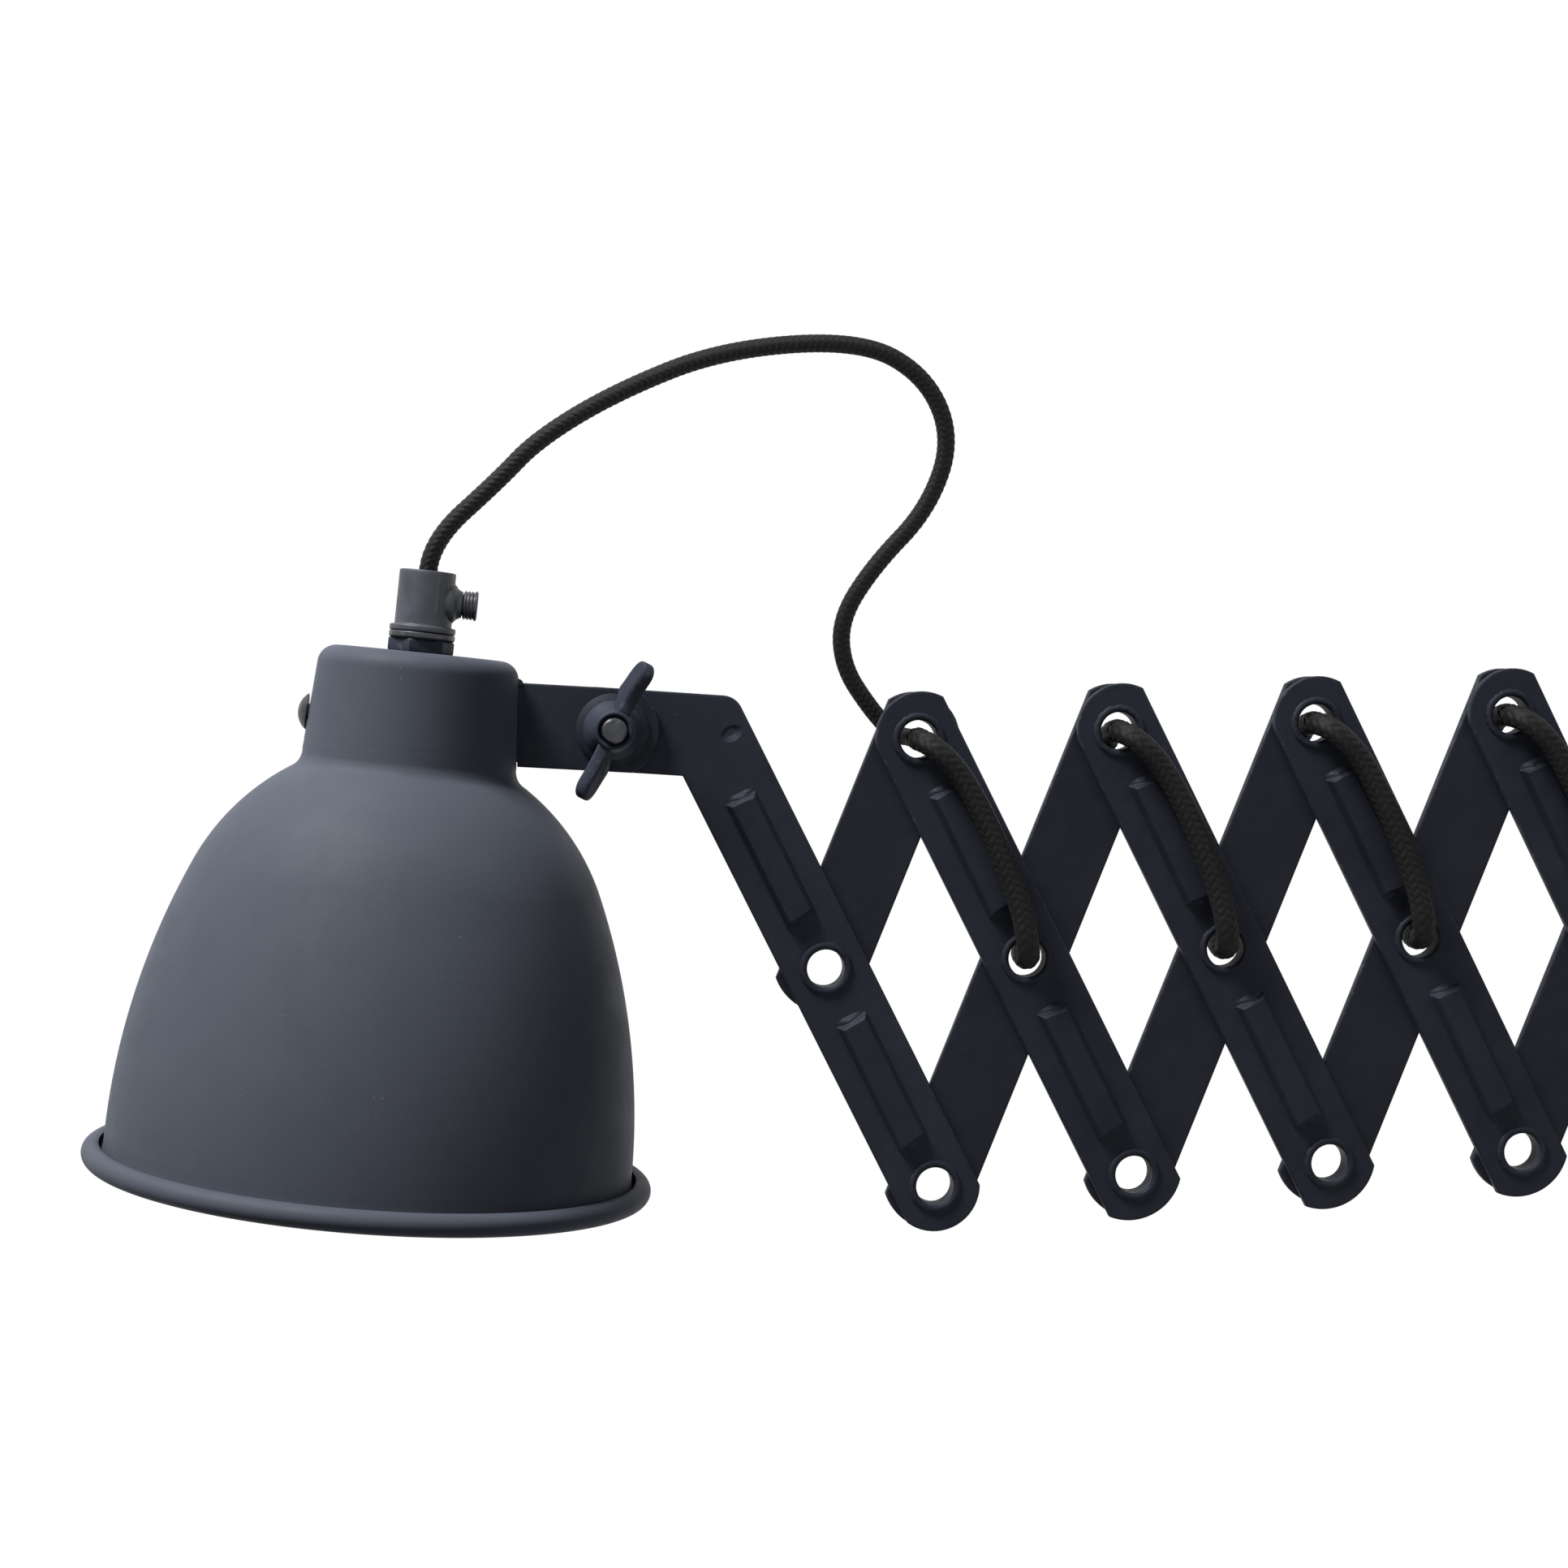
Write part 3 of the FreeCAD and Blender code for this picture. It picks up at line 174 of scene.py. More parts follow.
def fine(points, step):
    """The open line with its long stretches divided, so that no piece is longer than step."""
    parts = []
    for a, b in zip(points[:-1], points[1:]):
        count = max(int(np.ceil(np.hypot(*(b - a)) / step)), 1)
        parts.append(a + (b - a) * np.linspace(0, 1, count, endpoint=False)[:, None])
    return np.vstack(parts + [points[-1:]])


def inward(loop, amount):
    """The closed loop moved to the left of its way, mitred at its corners."""
    ahead = unit(np.roll(loop, -1, axis=0) - loop)
    behind = np.roll(ahead, 1, axis=0)
    left = np.column_stack([-ahead[:, 1], ahead[:, 0]])
    left_behind = np.column_stack([-behind[:, 1], behind[:, 0]])
    share = 1 + (left * left_behind).sum(1)
    return loop + amount * (left + left_behind) / np.maximum(share, 0.3)[:, None]


# ---- meshes


def mesh_piece(name, points, faces, material, flat=(), uv=None, values=None):
    """An object at the origin with its place in its mesh; uv and values are given per point."""
    mesh = bpy.data.meshes.new(name)
    mesh.from_pydata((np.asarray(points) * MM).tolist(), [], faces)
    mesh.materials.append(material)
    smooth = np.ones(len(faces), bool)
    smooth[list(flat)] = False
    mesh.polygons.foreach_set("use_smooth", smooth)
    corners = np.zeros(len(mesh.loops), int)
    mesh.loops.foreach_get("vertex_index", corners)
    if uv is not None:
        layer = mesh.uv_layers.new(name="UVMap")
        layer.data.foreach_set("uv", np.asarray(uv, float)[corners].ravel())
    for key, value in (values or {}).items():
        mesh.attributes.new(key, "FLOAT", "POINT").data.foreach_set("value", np.asarray(value, float))
    mesh.update()
    mesh.validate()
    mesh.set_sharp_from_angle(angle=math.radians(38))
    piece = bpy.data.objects.new(name, mesh)
    bpy.context.scene.collection.objects.link(piece)
    return piece


def joined(name, pieces):
    """The pieces as one object."""
    first = pieces[0]
    with bpy.context.temp_override(active_object=first, selected_editable_objects=pieces):
        bpy.ops.object.join()
    first.name = name
    first.data.name = name
    return first


def grid_faces(rows, columns, closed_rows=False, closed_columns=True):
    """Quads of a grid of points, row by row."""
    i = np.arange(rows if closed_rows else rows - 1)
    j = np.arange(columns if closed_columns else columns - 1)
    i, j = np.meshgrid(i, j, indexing="ij")
    i2, j2 = (i + 1) % rows, (j + 1) % columns
    quads = np.stack([i * columns + j, i * columns + j2, i2 * columns + j2, i2 * columns + j], -1)
    return quads.reshape(-1, 4).tolist()


def turned(name, profile, place, material, count=96, axis="Z", warp=None, closed=False):
    """A surface turned about an axis of the place; profile rows are (radius, height).

    warp(angle, radius, height) gives new radii and heights for a grid of points."""
    profile = np.asarray(profile, float)
    angles = np.linspace(0, TURN, count + 1)
    angle, radius = np.meshgrid(angles, profile[:, 0])
    height = np.repeat(profile[:, 1:2], count + 1, axis=1)
    if warp is not None:
        radius, height = warp(angle, radius, height)
    across, along = radius * np.cos(angle), radius * np.sin(angle)
    order = {"Z": (across, along, height), "Y": (along, -height, across), "X": (height, across, along)}[axis]
    steps = np.hypot(*np.diff(profile, axis=0).T)
    run = np.concatenate([[0], np.cumsum(steps)])
    uv = np.column_stack([angle.ravel() / TURN, np.repeat(run, count + 1)])
    points = place.points(np.stack(order, -1).reshape(-1, 3))
    faces = grid_faces(len(profile), count + 1, closed_rows=closed, closed_columns=False)
    return mesh_piece(name, points, faces, material, uv=uv)


BEVEL_STEPS = 3


def plate(name, loops, low, high, bevel, place, material, as_xyz=None, wear_ring=0.5):
    """A flat plate with rounded edges: the first loop is its outline, anticlockwise, the others its holes, clockwise.

    The plate lies in the place's XZ plane, from depth low to depth high along Y; as_xyz(a, b, depth) says otherwise.
    The attribute "wear" is 1 on the rounded edge and falls to 0 a little way in on the flat."""
    turn = np.linspace(0, math.pi / 2, BEVEL_STEPS + 1)
    rings = [(bevel + wear_ring, low, 0.0)]
    rings += [(bevel * (1 - math.sin(t)), low + bevel * (1 - math.cos(t)), 1.0) for t in turn]
    rings += [(bevel * (1 - math.cos(t)), high - bevel * (1 - math.sin(t)), 1.0) for t in turn]
    rings += [(bevel + wear_ring, high, 0.0)]
    points, wear, faces, caps = [], [], [], [[], []]
    start = 0
    for loop in loops:
        for inset, depth, worn in rings:
            edge = inward(loop, inset)
            points.append(np.column_stack([edge, np.full(len(edge), depth)]))
            wear.append(np.full(len(edge), worn))
        size = len(loop)
        faces += [[start + v for v in quad] for quad in grid_faces(len(rings), size)]
        caps[0].append((start, points[-len(rings)]))
        caps[1].append((start + size * (len(rings) - 1), points[-1]))
        start += size * len(rings)
    flat_from = len(faces)
    for cap, reverse in zip(caps, (False, True)):
        numbers = np.concatenate([np.arange(first, first + len(p)) for first, p in cap])
        triangles = tessellate_polygon([[Vector((x, y, 0)) for x, y, _ in p] for _, p in cap])
        for triangle in triangles:
            corners = [int(numbers[v]) for v in triangle]
            a, b, c = (np.concatenate([p for _, p in cap])[v][:2] for v in triangle)
            if ((b[0] - a[0]) * (c[1] - a[1]) - (b[1] - a[1]) * (c[0] - a[0]) > 0) == reverse:
                corners.reverse()
            faces.append(corners)
    local = np.vstack(points)
    if as_xyz is None:
        xyz = np.column_stack([local[:, 0], local[:, 2], local[:, 1]])
    else:
        xyz = np.column_stack(as_xyz(*local.T))
    flat = range(flat_from, len(faces))
    return mesh_piece(
        name, place.points(xyz), faces, material, flat=flat, uv=local[:, :2], values={"wear": np.concatenate(wear)}
    )


# ---- materials


class Nodes:
    """The nodes of a material or a world."""

    def __init__(self, owner):
        owner.use_nodes = True
        self.tree = owner.node_tree
        self.tree.nodes.clear()

    def give(self, socket, value):
        """Sets a socket to a number or a colour, or links it."""
        if isinstance(value, bpy.types.NodeSocket):
            self.tree.links.new(value, socket)
        elif isinstance(value, tuple) and len(value) == 3 and socket.type == "RGBA":
            socket.default_value = (*value, 1.0)
        else:
            socket.default_value = value

    def fill(self, node, values):
        """Inputs of a node, by their names with _ for a space, or by their numbers."""
        for key, value in values.items():
            self.give(node.inputs[key.replace("_", " ") if isinstance(key, str) else key], value)

    def node(self, kind, **values):
        """A new node of that kind."""
        node = self.tree.nodes.new("ShaderNode" + kind)
        self.fill(node, values)
        return node

    def maths(self, operation, a, b):
        """The sum, product and so on of two values."""
        node = self.node("Math")
        node.operation = operation
        self.fill(node, {0: a, 1: b})
        return node.outputs[0]


class Shader(Nodes):
    """A material's nodes, with a short name for each kind that is used."""

    def __init__(self, name, metallic=0.0):
        self.material = bpy.data.materials.new(name)
        super().__init__(self.material)
        self.surface = self.node("BsdfPrincipled", Metallic=metallic)
        self.node("OutputMaterial", Surface=self.surface.outputs[0])
        where = self.node("TexCoord")
        self.object, self.uv = where.outputs["Object"], where.outputs["UV"]

    def set(self, **values):
        """Inputs of the surface."""
        self.fill(self.surface, values)

    def noise(self, scale, detail=3.0, rough=0.55, vector=None, distortion=0.0):
        """Cloudy noise, in the object's coordinates where no vector is given."""
        node = self.node("TexNoise", Vector=vector or self.object, Scale=scale, Detail=detail, Roughness=rough)
        self.fill(node, {"Distortion": distortion})
        return node.outputs[0]

    def spread(self, value, low, high, to_low=0.0, to_high=1.0):
        """value, with the range low..high mapped on to_low..to_high and held past its ends."""
        node = self.node("MapRange", Value=value, From_Min=low, From_Max=high, To_Min=to_low, To_Max=to_high)
        return node.outputs[0]

    def blend(self, a, b, share):
        """Colour a, turning to colour b with share."""
        node = self.node("Mix", Factor=share)
        node.data_type = "RGBA"
        for key, colour in (("A", a), ("B", b)):
            self.give([s for s in node.inputs if s.name == key and s.type == "RGBA"][0], colour)
        return [s for s in node.outputs if s.type == "RGBA"][0]

    def over(self, colour, top, value, low, high, share=1.0):
        """The colour, covered by top up to share where value goes from low to high."""
        return self.blend(colour, top, self.spread(value, low, high, 0.0, share))

    def dust(self, scale, patches, near=0.035, far=0.06, most=0.6, low=0.54, high=0.66):
        """Specks round scattered points, where a coarser noise has its patches."""
        points = self.node("TexVoronoi", Vector=self.object, Scale=scale)
        specks = self.spread(points.outputs["Distance"], near, far, most, 0.0)
        return self.maths("MULTIPLY", specks, self.spread(self.noise(patches, 3), low, high))

    def finish(self, colour, scale, low, high):
        """The colour, with a roughness that wanders from low to high."""
        self.set(Base_Color=colour, Roughness=self.spread(self.noise(scale, 4), 0.3, 0.7, low, high))

    def value(self, name):
        """A mesh attribute."""
        node = self.node("Attribute")
        node.attribute_name = name
        return node.outputs["Fac"]

    def stretched(self, x, y, z):
        """The object's coordinates, scaled by a factor along each axis."""
        return self.node("Mapping", Vector=self.object, Scale=(x, y, z)).outputs[0]

    def dent(self, centre, turn, length, width):
        """Height 0 in a flat oval pit about centre in millimetres, rising to 1 at its rim, steeper on one side."""
        node = self.node("Mapping")
        node.vector_type = "TEXTURE"
        size = (length / 2 * MM, 1000, width / 2 * MM)
        place = tuple(c * MM for c in centre)
        self.fill(node, {"Vector": self.object, "Location": place, "Rotation": (0, turn, 0), "Scale": size})
        distance = self.node("VectorMath")
        distance.operation = "LENGTH"
        self.fill(distance, {0: node.outputs[0]})
        split = self.node("SeparateXYZ", Vector=node.outputs[0])
        leaned = self.maths("ADD", distance.outputs["Value"], self.maths("MULTIPLY", split.outputs[2], 0.35))
        return self.spread(leaned, 0.45, 1.1)

    def split_uv(self):
        """The two UV coordinates."""
        return self.node("SeparateXYZ", Vector=self.uv).outputs[:2]

    def bump(self, height, distance, strength=1.0, under=None):
        """A bump of that depth in millimetres, over another one."""
        node = self.node("Bump", Strength=strength, Distance=distance * MM, Height=height)
        if under is not None:
            self.fill(node, {"Normal": under})
        self.set(Normal=node.outputs[0])
        return node.outputs[0]


def tinted(colour, factor):
    """The colour times a factor."""
    return tuple(factor * c for c in colour)


def charcoal_paint(name, shade, chipped=0.25, gouge=None):
    """Matt charcoal stove paint, cloudy, with a few specks of dust and rubbed edges; gouge is where a dent lies; shade
    scales its colours for copies painted lighter or darker as painted light and shade.
    """
    s = Shader(name)
    base = tinted((0.013, 0.015, 0.023), shade)
    light = tinted((0.020, 0.023, 0.033), shade)
    dark = tinted((0.008, 0.009, 0.015), shade)
    colour = s.over(dark, light, s.noise(24, 5, 0.6, distortion=0.4), 0.28, 0.74)
    colour = s.over(colour, base, s.noise(95, 4, 0.62), 0.4, 0.62, 0.75)
    colour = s.over(colour, light, s.noise(900, 2, 0.7), 0.56, 0.74, 0.4)
    dust = s.dust(260, 60)
    colour = s.blend(colour, (0.14, 0.145, 0.15), dust)
    scratches = s.noise(110, 6, 0.75, vector=s.stretched(1, 1, 9))
    colour = s.over(colour, (0.09, 0.095, 0.105), scratches, 0.69, 0.735, 0.25)
    if chipped:
        chips = s.maths("ADD", s.value("wear"), s.spread(s.noise(420, 5, 0.7), 0.3, 0.7, -0.9, 0.25))
        colour = s.over(colour, (0.13, 0.134, 0.14), chips, 0.80, 1.2, chipped)
    s.finish(colour, 130, 0.50, 0.68)
    s.set(Specular_IOR_Level=0.14)
    under = s.bump(s.noise(170, 3, 0.6), 0.22, 0.4)
    if gouge is not None:
        under = s.bump(s.dent(*gouge), 0.9, 1.0, under)
    fine_bump = s.bump(s.noise(1500, 3, 0.7), 0.05, 0.6, under)
    s.bump(dust, 0.08, 0.8, fine_bump)
    return s.material


def spun_paint(name):
    """The shade's paint: as on the bars, over the faint rings left by spinning; UV is turns and millimetres."""
    s = Shader(name)
    turn, run = s.split_uv()
    clouds = s.noise(15, 5, 0.58, distortion=0.5)
    colour = s.over((0.056, 0.063, 0.083), (0.076, 0.085, 0.108), clouds, 0.28, 0.74)
    colour = s.over(colour, (0.066, 0.074, 0.095), s.noise(70, 5, 0.65), 0.40, 0.60, 0.8)
    colour = s.over(colour, (0.078, 0.087, 0.108), s.noise(1100, 2, 0.7), 0.55, 0.75, 0.4)
    dust = s.dust(210, 45)
    colour = s.blend(colour, (0.26, 0.27, 0.28), dust)
    rubs = s.noise(42, 7, 0.75, vector=s.stretched(1, 1, 3))
    colour = s.over(colour, (0.15, 0.16, 0.18), rubs, 0.66, 0.74, 0.3)
    s.finish(colour, 90, 0.54, 0.64)
    s.set(Specular_IOR_Level=0.09)
    place = s.node("CombineXYZ", X=s.maths("MULTIPLY", turn, 2.0), Y=run)
    ringed = s.bump(s.noise(1.1, 3, 0.6, vector=place.outputs[0]), 0.05, 0.3)
    fine_bump = s.bump(s.noise(1600, 3, 0.7), 0.05, 0.6, ringed)
    s.bump(dust, 0.08, 0.8, fine_bump)
    return s.material


def inner_white(name):
    """The inside of the shade: dull light paint, cloudy, with a little shine."""
    s = Shader(name)
    colour = s.over((0.50, 0.50, 0.48), (0.66, 0.66, 0.64), s.noise(30, 5, 0.6), 0.3, 0.7)
    s.set(Base_Color=colour, Roughness=0.5)
    s.bump(s.noise(900, 3, 0.6), 0.05, 0.6)
    return s.material


def dark_metal(name, base, bare, shine):
    """Blackened steel of screws, nuts and rod, rubbed brighter in spots."""
    s = Shader(name, metallic=0.35)
    colour = s.over(base, tinted(base, 2.3), s.noise(260, 5, 0.65), 0.35, 0.7)
    colour = s.over(colour, bare, s.noise(520, 6, 0.75), 0.60, 0.70, 0.6)
    s.finish(colour, 340, shine - 0.08, shine + 0.16)
    under = s.bump(s.noise(420, 4, 0.65), 0.14, 0.6)
    s.bump(s.noise(1900, 2, 0.6), 0.04, 0.6, under)
    return s.material


def moulded_plastic(name, base, shine):
    """Dark moulded plastic, finely scuffed."""
    s = Shader(name)
    colour = s.over(base, tinted(base, 2.0), s.noise(150, 5, 0.6), 0.35, 0.7)
    dust = s.dust(900, 120, near=0.08, far=0.14, most=0.5, low=0.5, high=0.62)
    s.finish(s.blend(colour, (0.16, 0.16, 0.165), dust), 300, shine, shine + 0.14)
    under = s.bump(s.noise(220, 3, 0.6), 0.10, 0.5)
    s.bump(s.noise(1700, 2, 0.6), 0.03, 0.5, under)
    return s.material


def braid(name):
    """Black textile braid with lint; its strands are painted lighter along their crowns and darker where they sink, as
    painted highlight and shade; "lift" is their height.
    """
    s = Shader(name)
    across, along = s.split_uv()
    yarn = s.maths("ADD", s.maths("MULTIPLY", across, 9.0), s.maths("MULTIPLY", along, 3.0))
    place = s.node("CombineXYZ", X=yarn, Y=s.maths("MULTIPLY", along, 0.8))
    threads = s.noise(3.2, 4, 0.6, vector=place.outputs[0])
    # Painted shade and highlight: near black where the strands sink, lighter on their crowns.
    colour = s.over((0.002, 0.002, 0.002), (0.008, 0.0075, 0.0075), s.value("lift"), 0.15, 0.95)
    colour = s.over(colour, (0.026, 0.025, 0.025), threads, 0.52, 0.72, 0.6)
    colour = s.over(colour, (0.10, 0.098, 0.096), s.noise(380, 6, 0.8), 0.66, 0.74, 0.5)
    s.set(Base_Color=colour, Roughness=s.spread(threads, 0.3, 0.7, 0.62, 0.44))
    s.set(Specular_IOR_Level=0.14, Sheen_Weight=0.015, Sheen_Roughness=0.4)
    under = s.bump(threads, 0.16, 0.8)
    s.bump(s.noise(2600, 3, 0.7), 0.05, 0.6, under)
    return s.material


def bright_metal(name, base):
    """Plain metal, a little stained."""
    s = Shader(name, metallic=1.0)
    colour = s.over(base, tinted(base, 0.62), s.noise(180, 5, 0.6), 0.38, 0.72)
    s.finish(colour, 420, 0.28, 0.48)
    s.bump(s.noise(1300, 3, 0.6), 0.04, 0.5)
    return s.material


def rubber(name):
    """Dull black rubber."""
    s = Shader(name)
    colour = s.over((0.018, 0.018, 0.018), (0.045, 0.044, 0.043), s.noise(220, 4), 0.4, 0.75)
    s.set(Base_Color=colour, Roughness=0.72)
    s.bump(s.noise(1500, 3, 0.6), 0.06, 0.6)
    return s.material


ELBOW_DENT = ((-376.1, 0, 73.0), math.radians(-24), 6.0, 3.8)      # centre, turn, length and width

# The number after each paint's name scales one and the same paint: the back bars' copy is darker as painted shade, and
# the front bars', bent arm's and wing nut's copies are lighter as painted light.
bar_paint = charcoal_paint("bar_paint", 1.12)
shaded_back_paint = charcoal_paint("shaded_back_bar_paint", 0.9)
bracket_paint = charcoal_paint("bracket_paint", 0.95, chipped=0)
lit_nut_paint = charcoal_paint("lit_nut_paint", 1.9, chipped=0.35)
lit_elbow_paint = charcoal_paint("lit_elbow_paint", 1.35, gouge=ELBOW_DENT)
shade_paint = spun_paint("shade_paint")
shade_lining = inner_white("shade_lining")
eyelet_paint = charcoal_paint("eyelet_paint", 1.05, chipped=0)
screw_metal = dark_metal("screw_metal", (0.026, 0.027, 0.030), (0.30, 0.30, 0.31), 0.36)
grip_grey = moulded_plastic("grip_grey", (0.024, 0.027, 0.035), 0.42)
holder_black = moulded_plastic("holder_black", (0.020, 0.019, 0.018), 0.30)
cord_braid = braid("cord_braid")
brass = bright_metal("brass", (0.78, 0.56, 0.24))
entry_rubber = rubber("entry_rubber")


def on_body(piece, body, slot, *replaced):
    """The piece rides on a body and stands for its CAD nodes, which it hides; slot is not used."""
    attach(piece, body)
    if replaced:
        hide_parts(*replaced)
    return piece


# ---- cords

CORD_DIAMETER = 5.6
LACED_DIAMETER = 7.2
STRANDS = 8                     # strands each way round the braid

# Laced stretches in a bar's own frame: along the bar, depth, and across it.
FRONT_LACE = [
    (-75.0, 0.0, 0.0), (-75.0, -5.75, 0.0), (-70.0, -10.75, 3.0), (-59.0, -9.85, 6.2), (-39.0, -10.05, 6.6),
    (-16.0, -9.85, 4.6), (-5.0, -10.35, 1.2), (0.0, -5.75, 0.0), (0.0, 0.0, 0.0),
]
BACK_LACE = [
    (0.0, 0.0, 0.0), (0.0, 5.95, 0.0), (5.5, 10.15, 0.4), (18.0, 8.75, 1.2), (38.0, 8.35, 0.2),
    (59.0, 8.95, -0.8), (70.0, 10.15, -0.3), (75.0, 5.95, 0.0), (75.0, 0.0, 0.0),
]
# The free loop: offsets from the first crossing along X and Z in units of the half rise, with the depth between.
LOOP_HEAD = [(-1.354, -4.8, 2.194), (-1.177, -4.7, 2.368), (-0.829, -4.3, 2.564), (-0.352, -3.4, 2.740)]
LOOP_CROWN = (-0.045, -2.5, 2.755)
LOOP_ARM = [
    (0.262, -1.6, 2.770), (0.551, -0.4, 2.604), (0.663, 1.6, 2.325), (0.548, 4.2, 2.020),
    (0.300, 6.6, 1.779), (0.144, 8.8, 1.549), (0.151, 10.6, 1.335), (0.269, 11.8, 1.143),
]
GRIP_TOP = 59.3


def loop_point(point):
    """A point of the loop's route in the lamp's own frame."""
    return (first_crossing[0] + point[0] * half_rise, point[1], point[2] * half_rise)


grip_mouth, grip_ahead = head_place.points([(0, 0, GRIP_TOP), (0, 0, GRIP_TOP + 1.6 * CORD_DIAMETER)])
crown = loop_point(LOOP_CROWN)
head_route = [tuple(grip_mouth), tuple(grip_ahead)] + [loop_point(p) for p in LOOP_HEAD] + [crown]
upper_x = first_upper[0]
arm_route = [crown] + [loop_point(p) for p in LOOP_ARM]
arm_route += [(upper_x - CORD_DIAMETER, 11.8, half_rise + 1.5), (upper_x, 7.5, half_rise), (upper_x, 0.0, half_rise)]
pivot_x = joint_at["arm_extend"][0]
ENTRY_SIDE = -19.0
wall_route = [
    (pivot_x, 0.0, half_rise), (pivot_x, -8.0, half_rise), (pivot_x + 5.0, -13.5, half_rise - 2.0),
    (pivot_x + 18.0, -17.0, half_rise - 9.0), (pivot_x + 34.0, ENTRY_SIDE, half_rise - 16.0),
    (-14.0, ENTRY_SIDE, half_rise - 18.0), (0.0, ENTRY_SIDE, half_rise - 18.0),
]


def spline_line(points):
    """Points along the NURBS spline whose control points are the route's."""
    curve = bpy.data.curves.new("route", "CURVE")
    curve.dimensions = "3D"
    curve.resolution_u = 24
    spline = curve.splines.new("NURBS")
    spline.points.add(len(points) - 1)
    for control, point in zip(spline.points, points):
        control.co = (*point, 1.0)
    spline.order_u = 3
    spline.use_endpoint_u = True
    holder = bpy.data.objects.new("route", curve)
    mesh = bpy.data.meshes.new_from_object(holder)
    line = np.array([vertex.co for vertex in mesh.vertices])
    bpy.data.meshes.remove(mesh)
    bpy.data.objects.remove(holder)
    bpy.data.curves.remove(curve)
    return line[np.concatenate([[True], np.linalg.norm(np.diff(line, axis=0), axis=1) > 1e-5])]


def line_frames(line):
    """Run along the line, and normals carried along it without twist."""
    steps = np.diff(line, axis=0)
    run = np.concatenate([[0], np.cumsum(np.linalg.norm(steps, axis=1))])
    tangent = unit(np.gradient(line, run, axis=0))
    normal = np.zeros_like(line)
    guess = np.array([0.0, 1.0, 0.0]) if abs(tangent[0][1]) < 0.9 else np.array([1.0, 0.0, 0.0])
    for i, t in enumerate(tangent):
        guess = guess - t * guess.dot(t)
        guess /= np.linalg.norm(guess)
        normal[i] = guess
    return run, normal


def braid_lift(turn, run, pitch):
    """How high the upper strand stands, 0 to 1, at a place round the cord and along it.

    Two sets of STRANDS strands wind opposite ways: U = N*turn + run/pitch and V = N*turn - run/pitch number
    them, with i and j their whole parts. Each passes over two strands and under two: the set of U is on top where
    (i + j) mod 4 is 0 or 1. Across a strand the lift is sqrt(1 - 3.4 f^2), f from -1/2 to 1/2, and along its
    float it swells as sin(pi p), p from 0 to 1."""
    u = STRANDS * turn + run / pitch
    v = STRANDS * turn - run / pitch
    i, j = np.floor(u), np.floor(v)
    first_over = np.mod(i + j, 4) < 2
    f = np.where(first_over, u - i, v - j) - 0.5
    p = np.where(first_over, np.mod(i + v, 4) / 2, np.mod(j + u, 4) / 2 - 1)
    crown_lift = np.sqrt(np.clip(1 - 3.4 * f * f, 0, 1))
    return crown_lift * (0.55 + 0.45 * np.sin(math.pi * np.clip(p, 0, 1)))


RING_STEP = 0.3
RING_POINTS = 56


def braided_tube(name, line, start, end, diameter):
    """The stretch of a line from run start to run end, as a braided cord with closed ends."""
    run, normal = line_frames(line)
    count = int(round((end - start) / RING_STEP))
    at = np.linspace(start, end, count + 1)
    centre = between(at, run, line)
    tangent = unit(np.gradient(centre, at, axis=0))
    side = between(at, run, normal)
    side = unit(side - tangent * (side * tangent).sum(1)[:, None])
    other = np.cross(tangent, side)
    turn = np.linspace(0, 1, RING_POINTS + 1)
    amplitude = 0.075 * diameter
    pitch = 0.36 * diameter
    lift = braid_lift(turn[None, :], at[:, None], pitch)
    radius = diameter / 2 - amplitude + amplitude * lift
    ring = side[:, None] * np.cos(turn * TURN)[:, None] + other[:, None] * np.sin(turn * TURN)[:, None]
    points = centre[:, None] + radius[..., None] * ring
    uv = np.stack(np.broadcast_arrays(STRANDS * turn[None, :], at[:, None] / pitch), -1)
    rows, columns = lift.shape
    faces = grid_faces(rows, columns, closed_columns=False)
    flat = len(faces)
    faces.append(list(range(columns - 1))[::-1])
    faces.append(list(range((rows - 1) * columns, rows * columns - 1)))
    return mesh_piece(
        name, points.reshape(-1, 3), faces, cord_braid,
        flat=(flat, flat + 1), uv=uv.reshape(-1, 2), values={"lift": lift.ravel()},
    )


def whole(line):
    """Length of the line."""
    return float(np.linalg.norm(np.diff(line, axis=0), axis=1).sum())


head_line = spline_line(head_route)
arm_line = spline_line(arm_route)
loop_line = np.vstack([head_line, arm_line[1:]])
crown_run = whole(head_line)
loop_run = whole(loop_line)
wall_line = spline_line(wall_route)


def free_cord(piece, node, line, start, body_a, body_b, bend_start, bend_end):
    """A free stretch: stands for its node, which it hides, and has its place baked into its mesh; line, start, body_a,
    body_b, bend_start and bend_end are not used.
    """
    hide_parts(node)
    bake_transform(piece)


head_cord = braided_tube("cord_to_head", loop_line, 0.0, crown_run, CORD_DIAMETER)
free_cord(head_cord, "loop_cord_head", head_line, head_route[0], "lamp_head", "front_arm_0", head_route[1], crown)
arm_cord = braided_tube("cord_to_arm", loop_line, crown_run, loop_run, CORD_DIAMETER)
free_cord(arm_cord, "loop_cord_arm", arm_line, arm_route[0], "front_arm_0", "back_arm_0", arm_route[3], arm_route[-3])
wall_piece = braided_tube("cord_to_wall", wall_line, 0.0, whole(wall_line), CORD_DIAMETER)
wall_bend = (wall_route[2], wall_route[4])
free_cord(wall_piece, "wall_cord", wall_line, wall_route[0], "upper_carrier", "wall_bracket", *wall_bend)

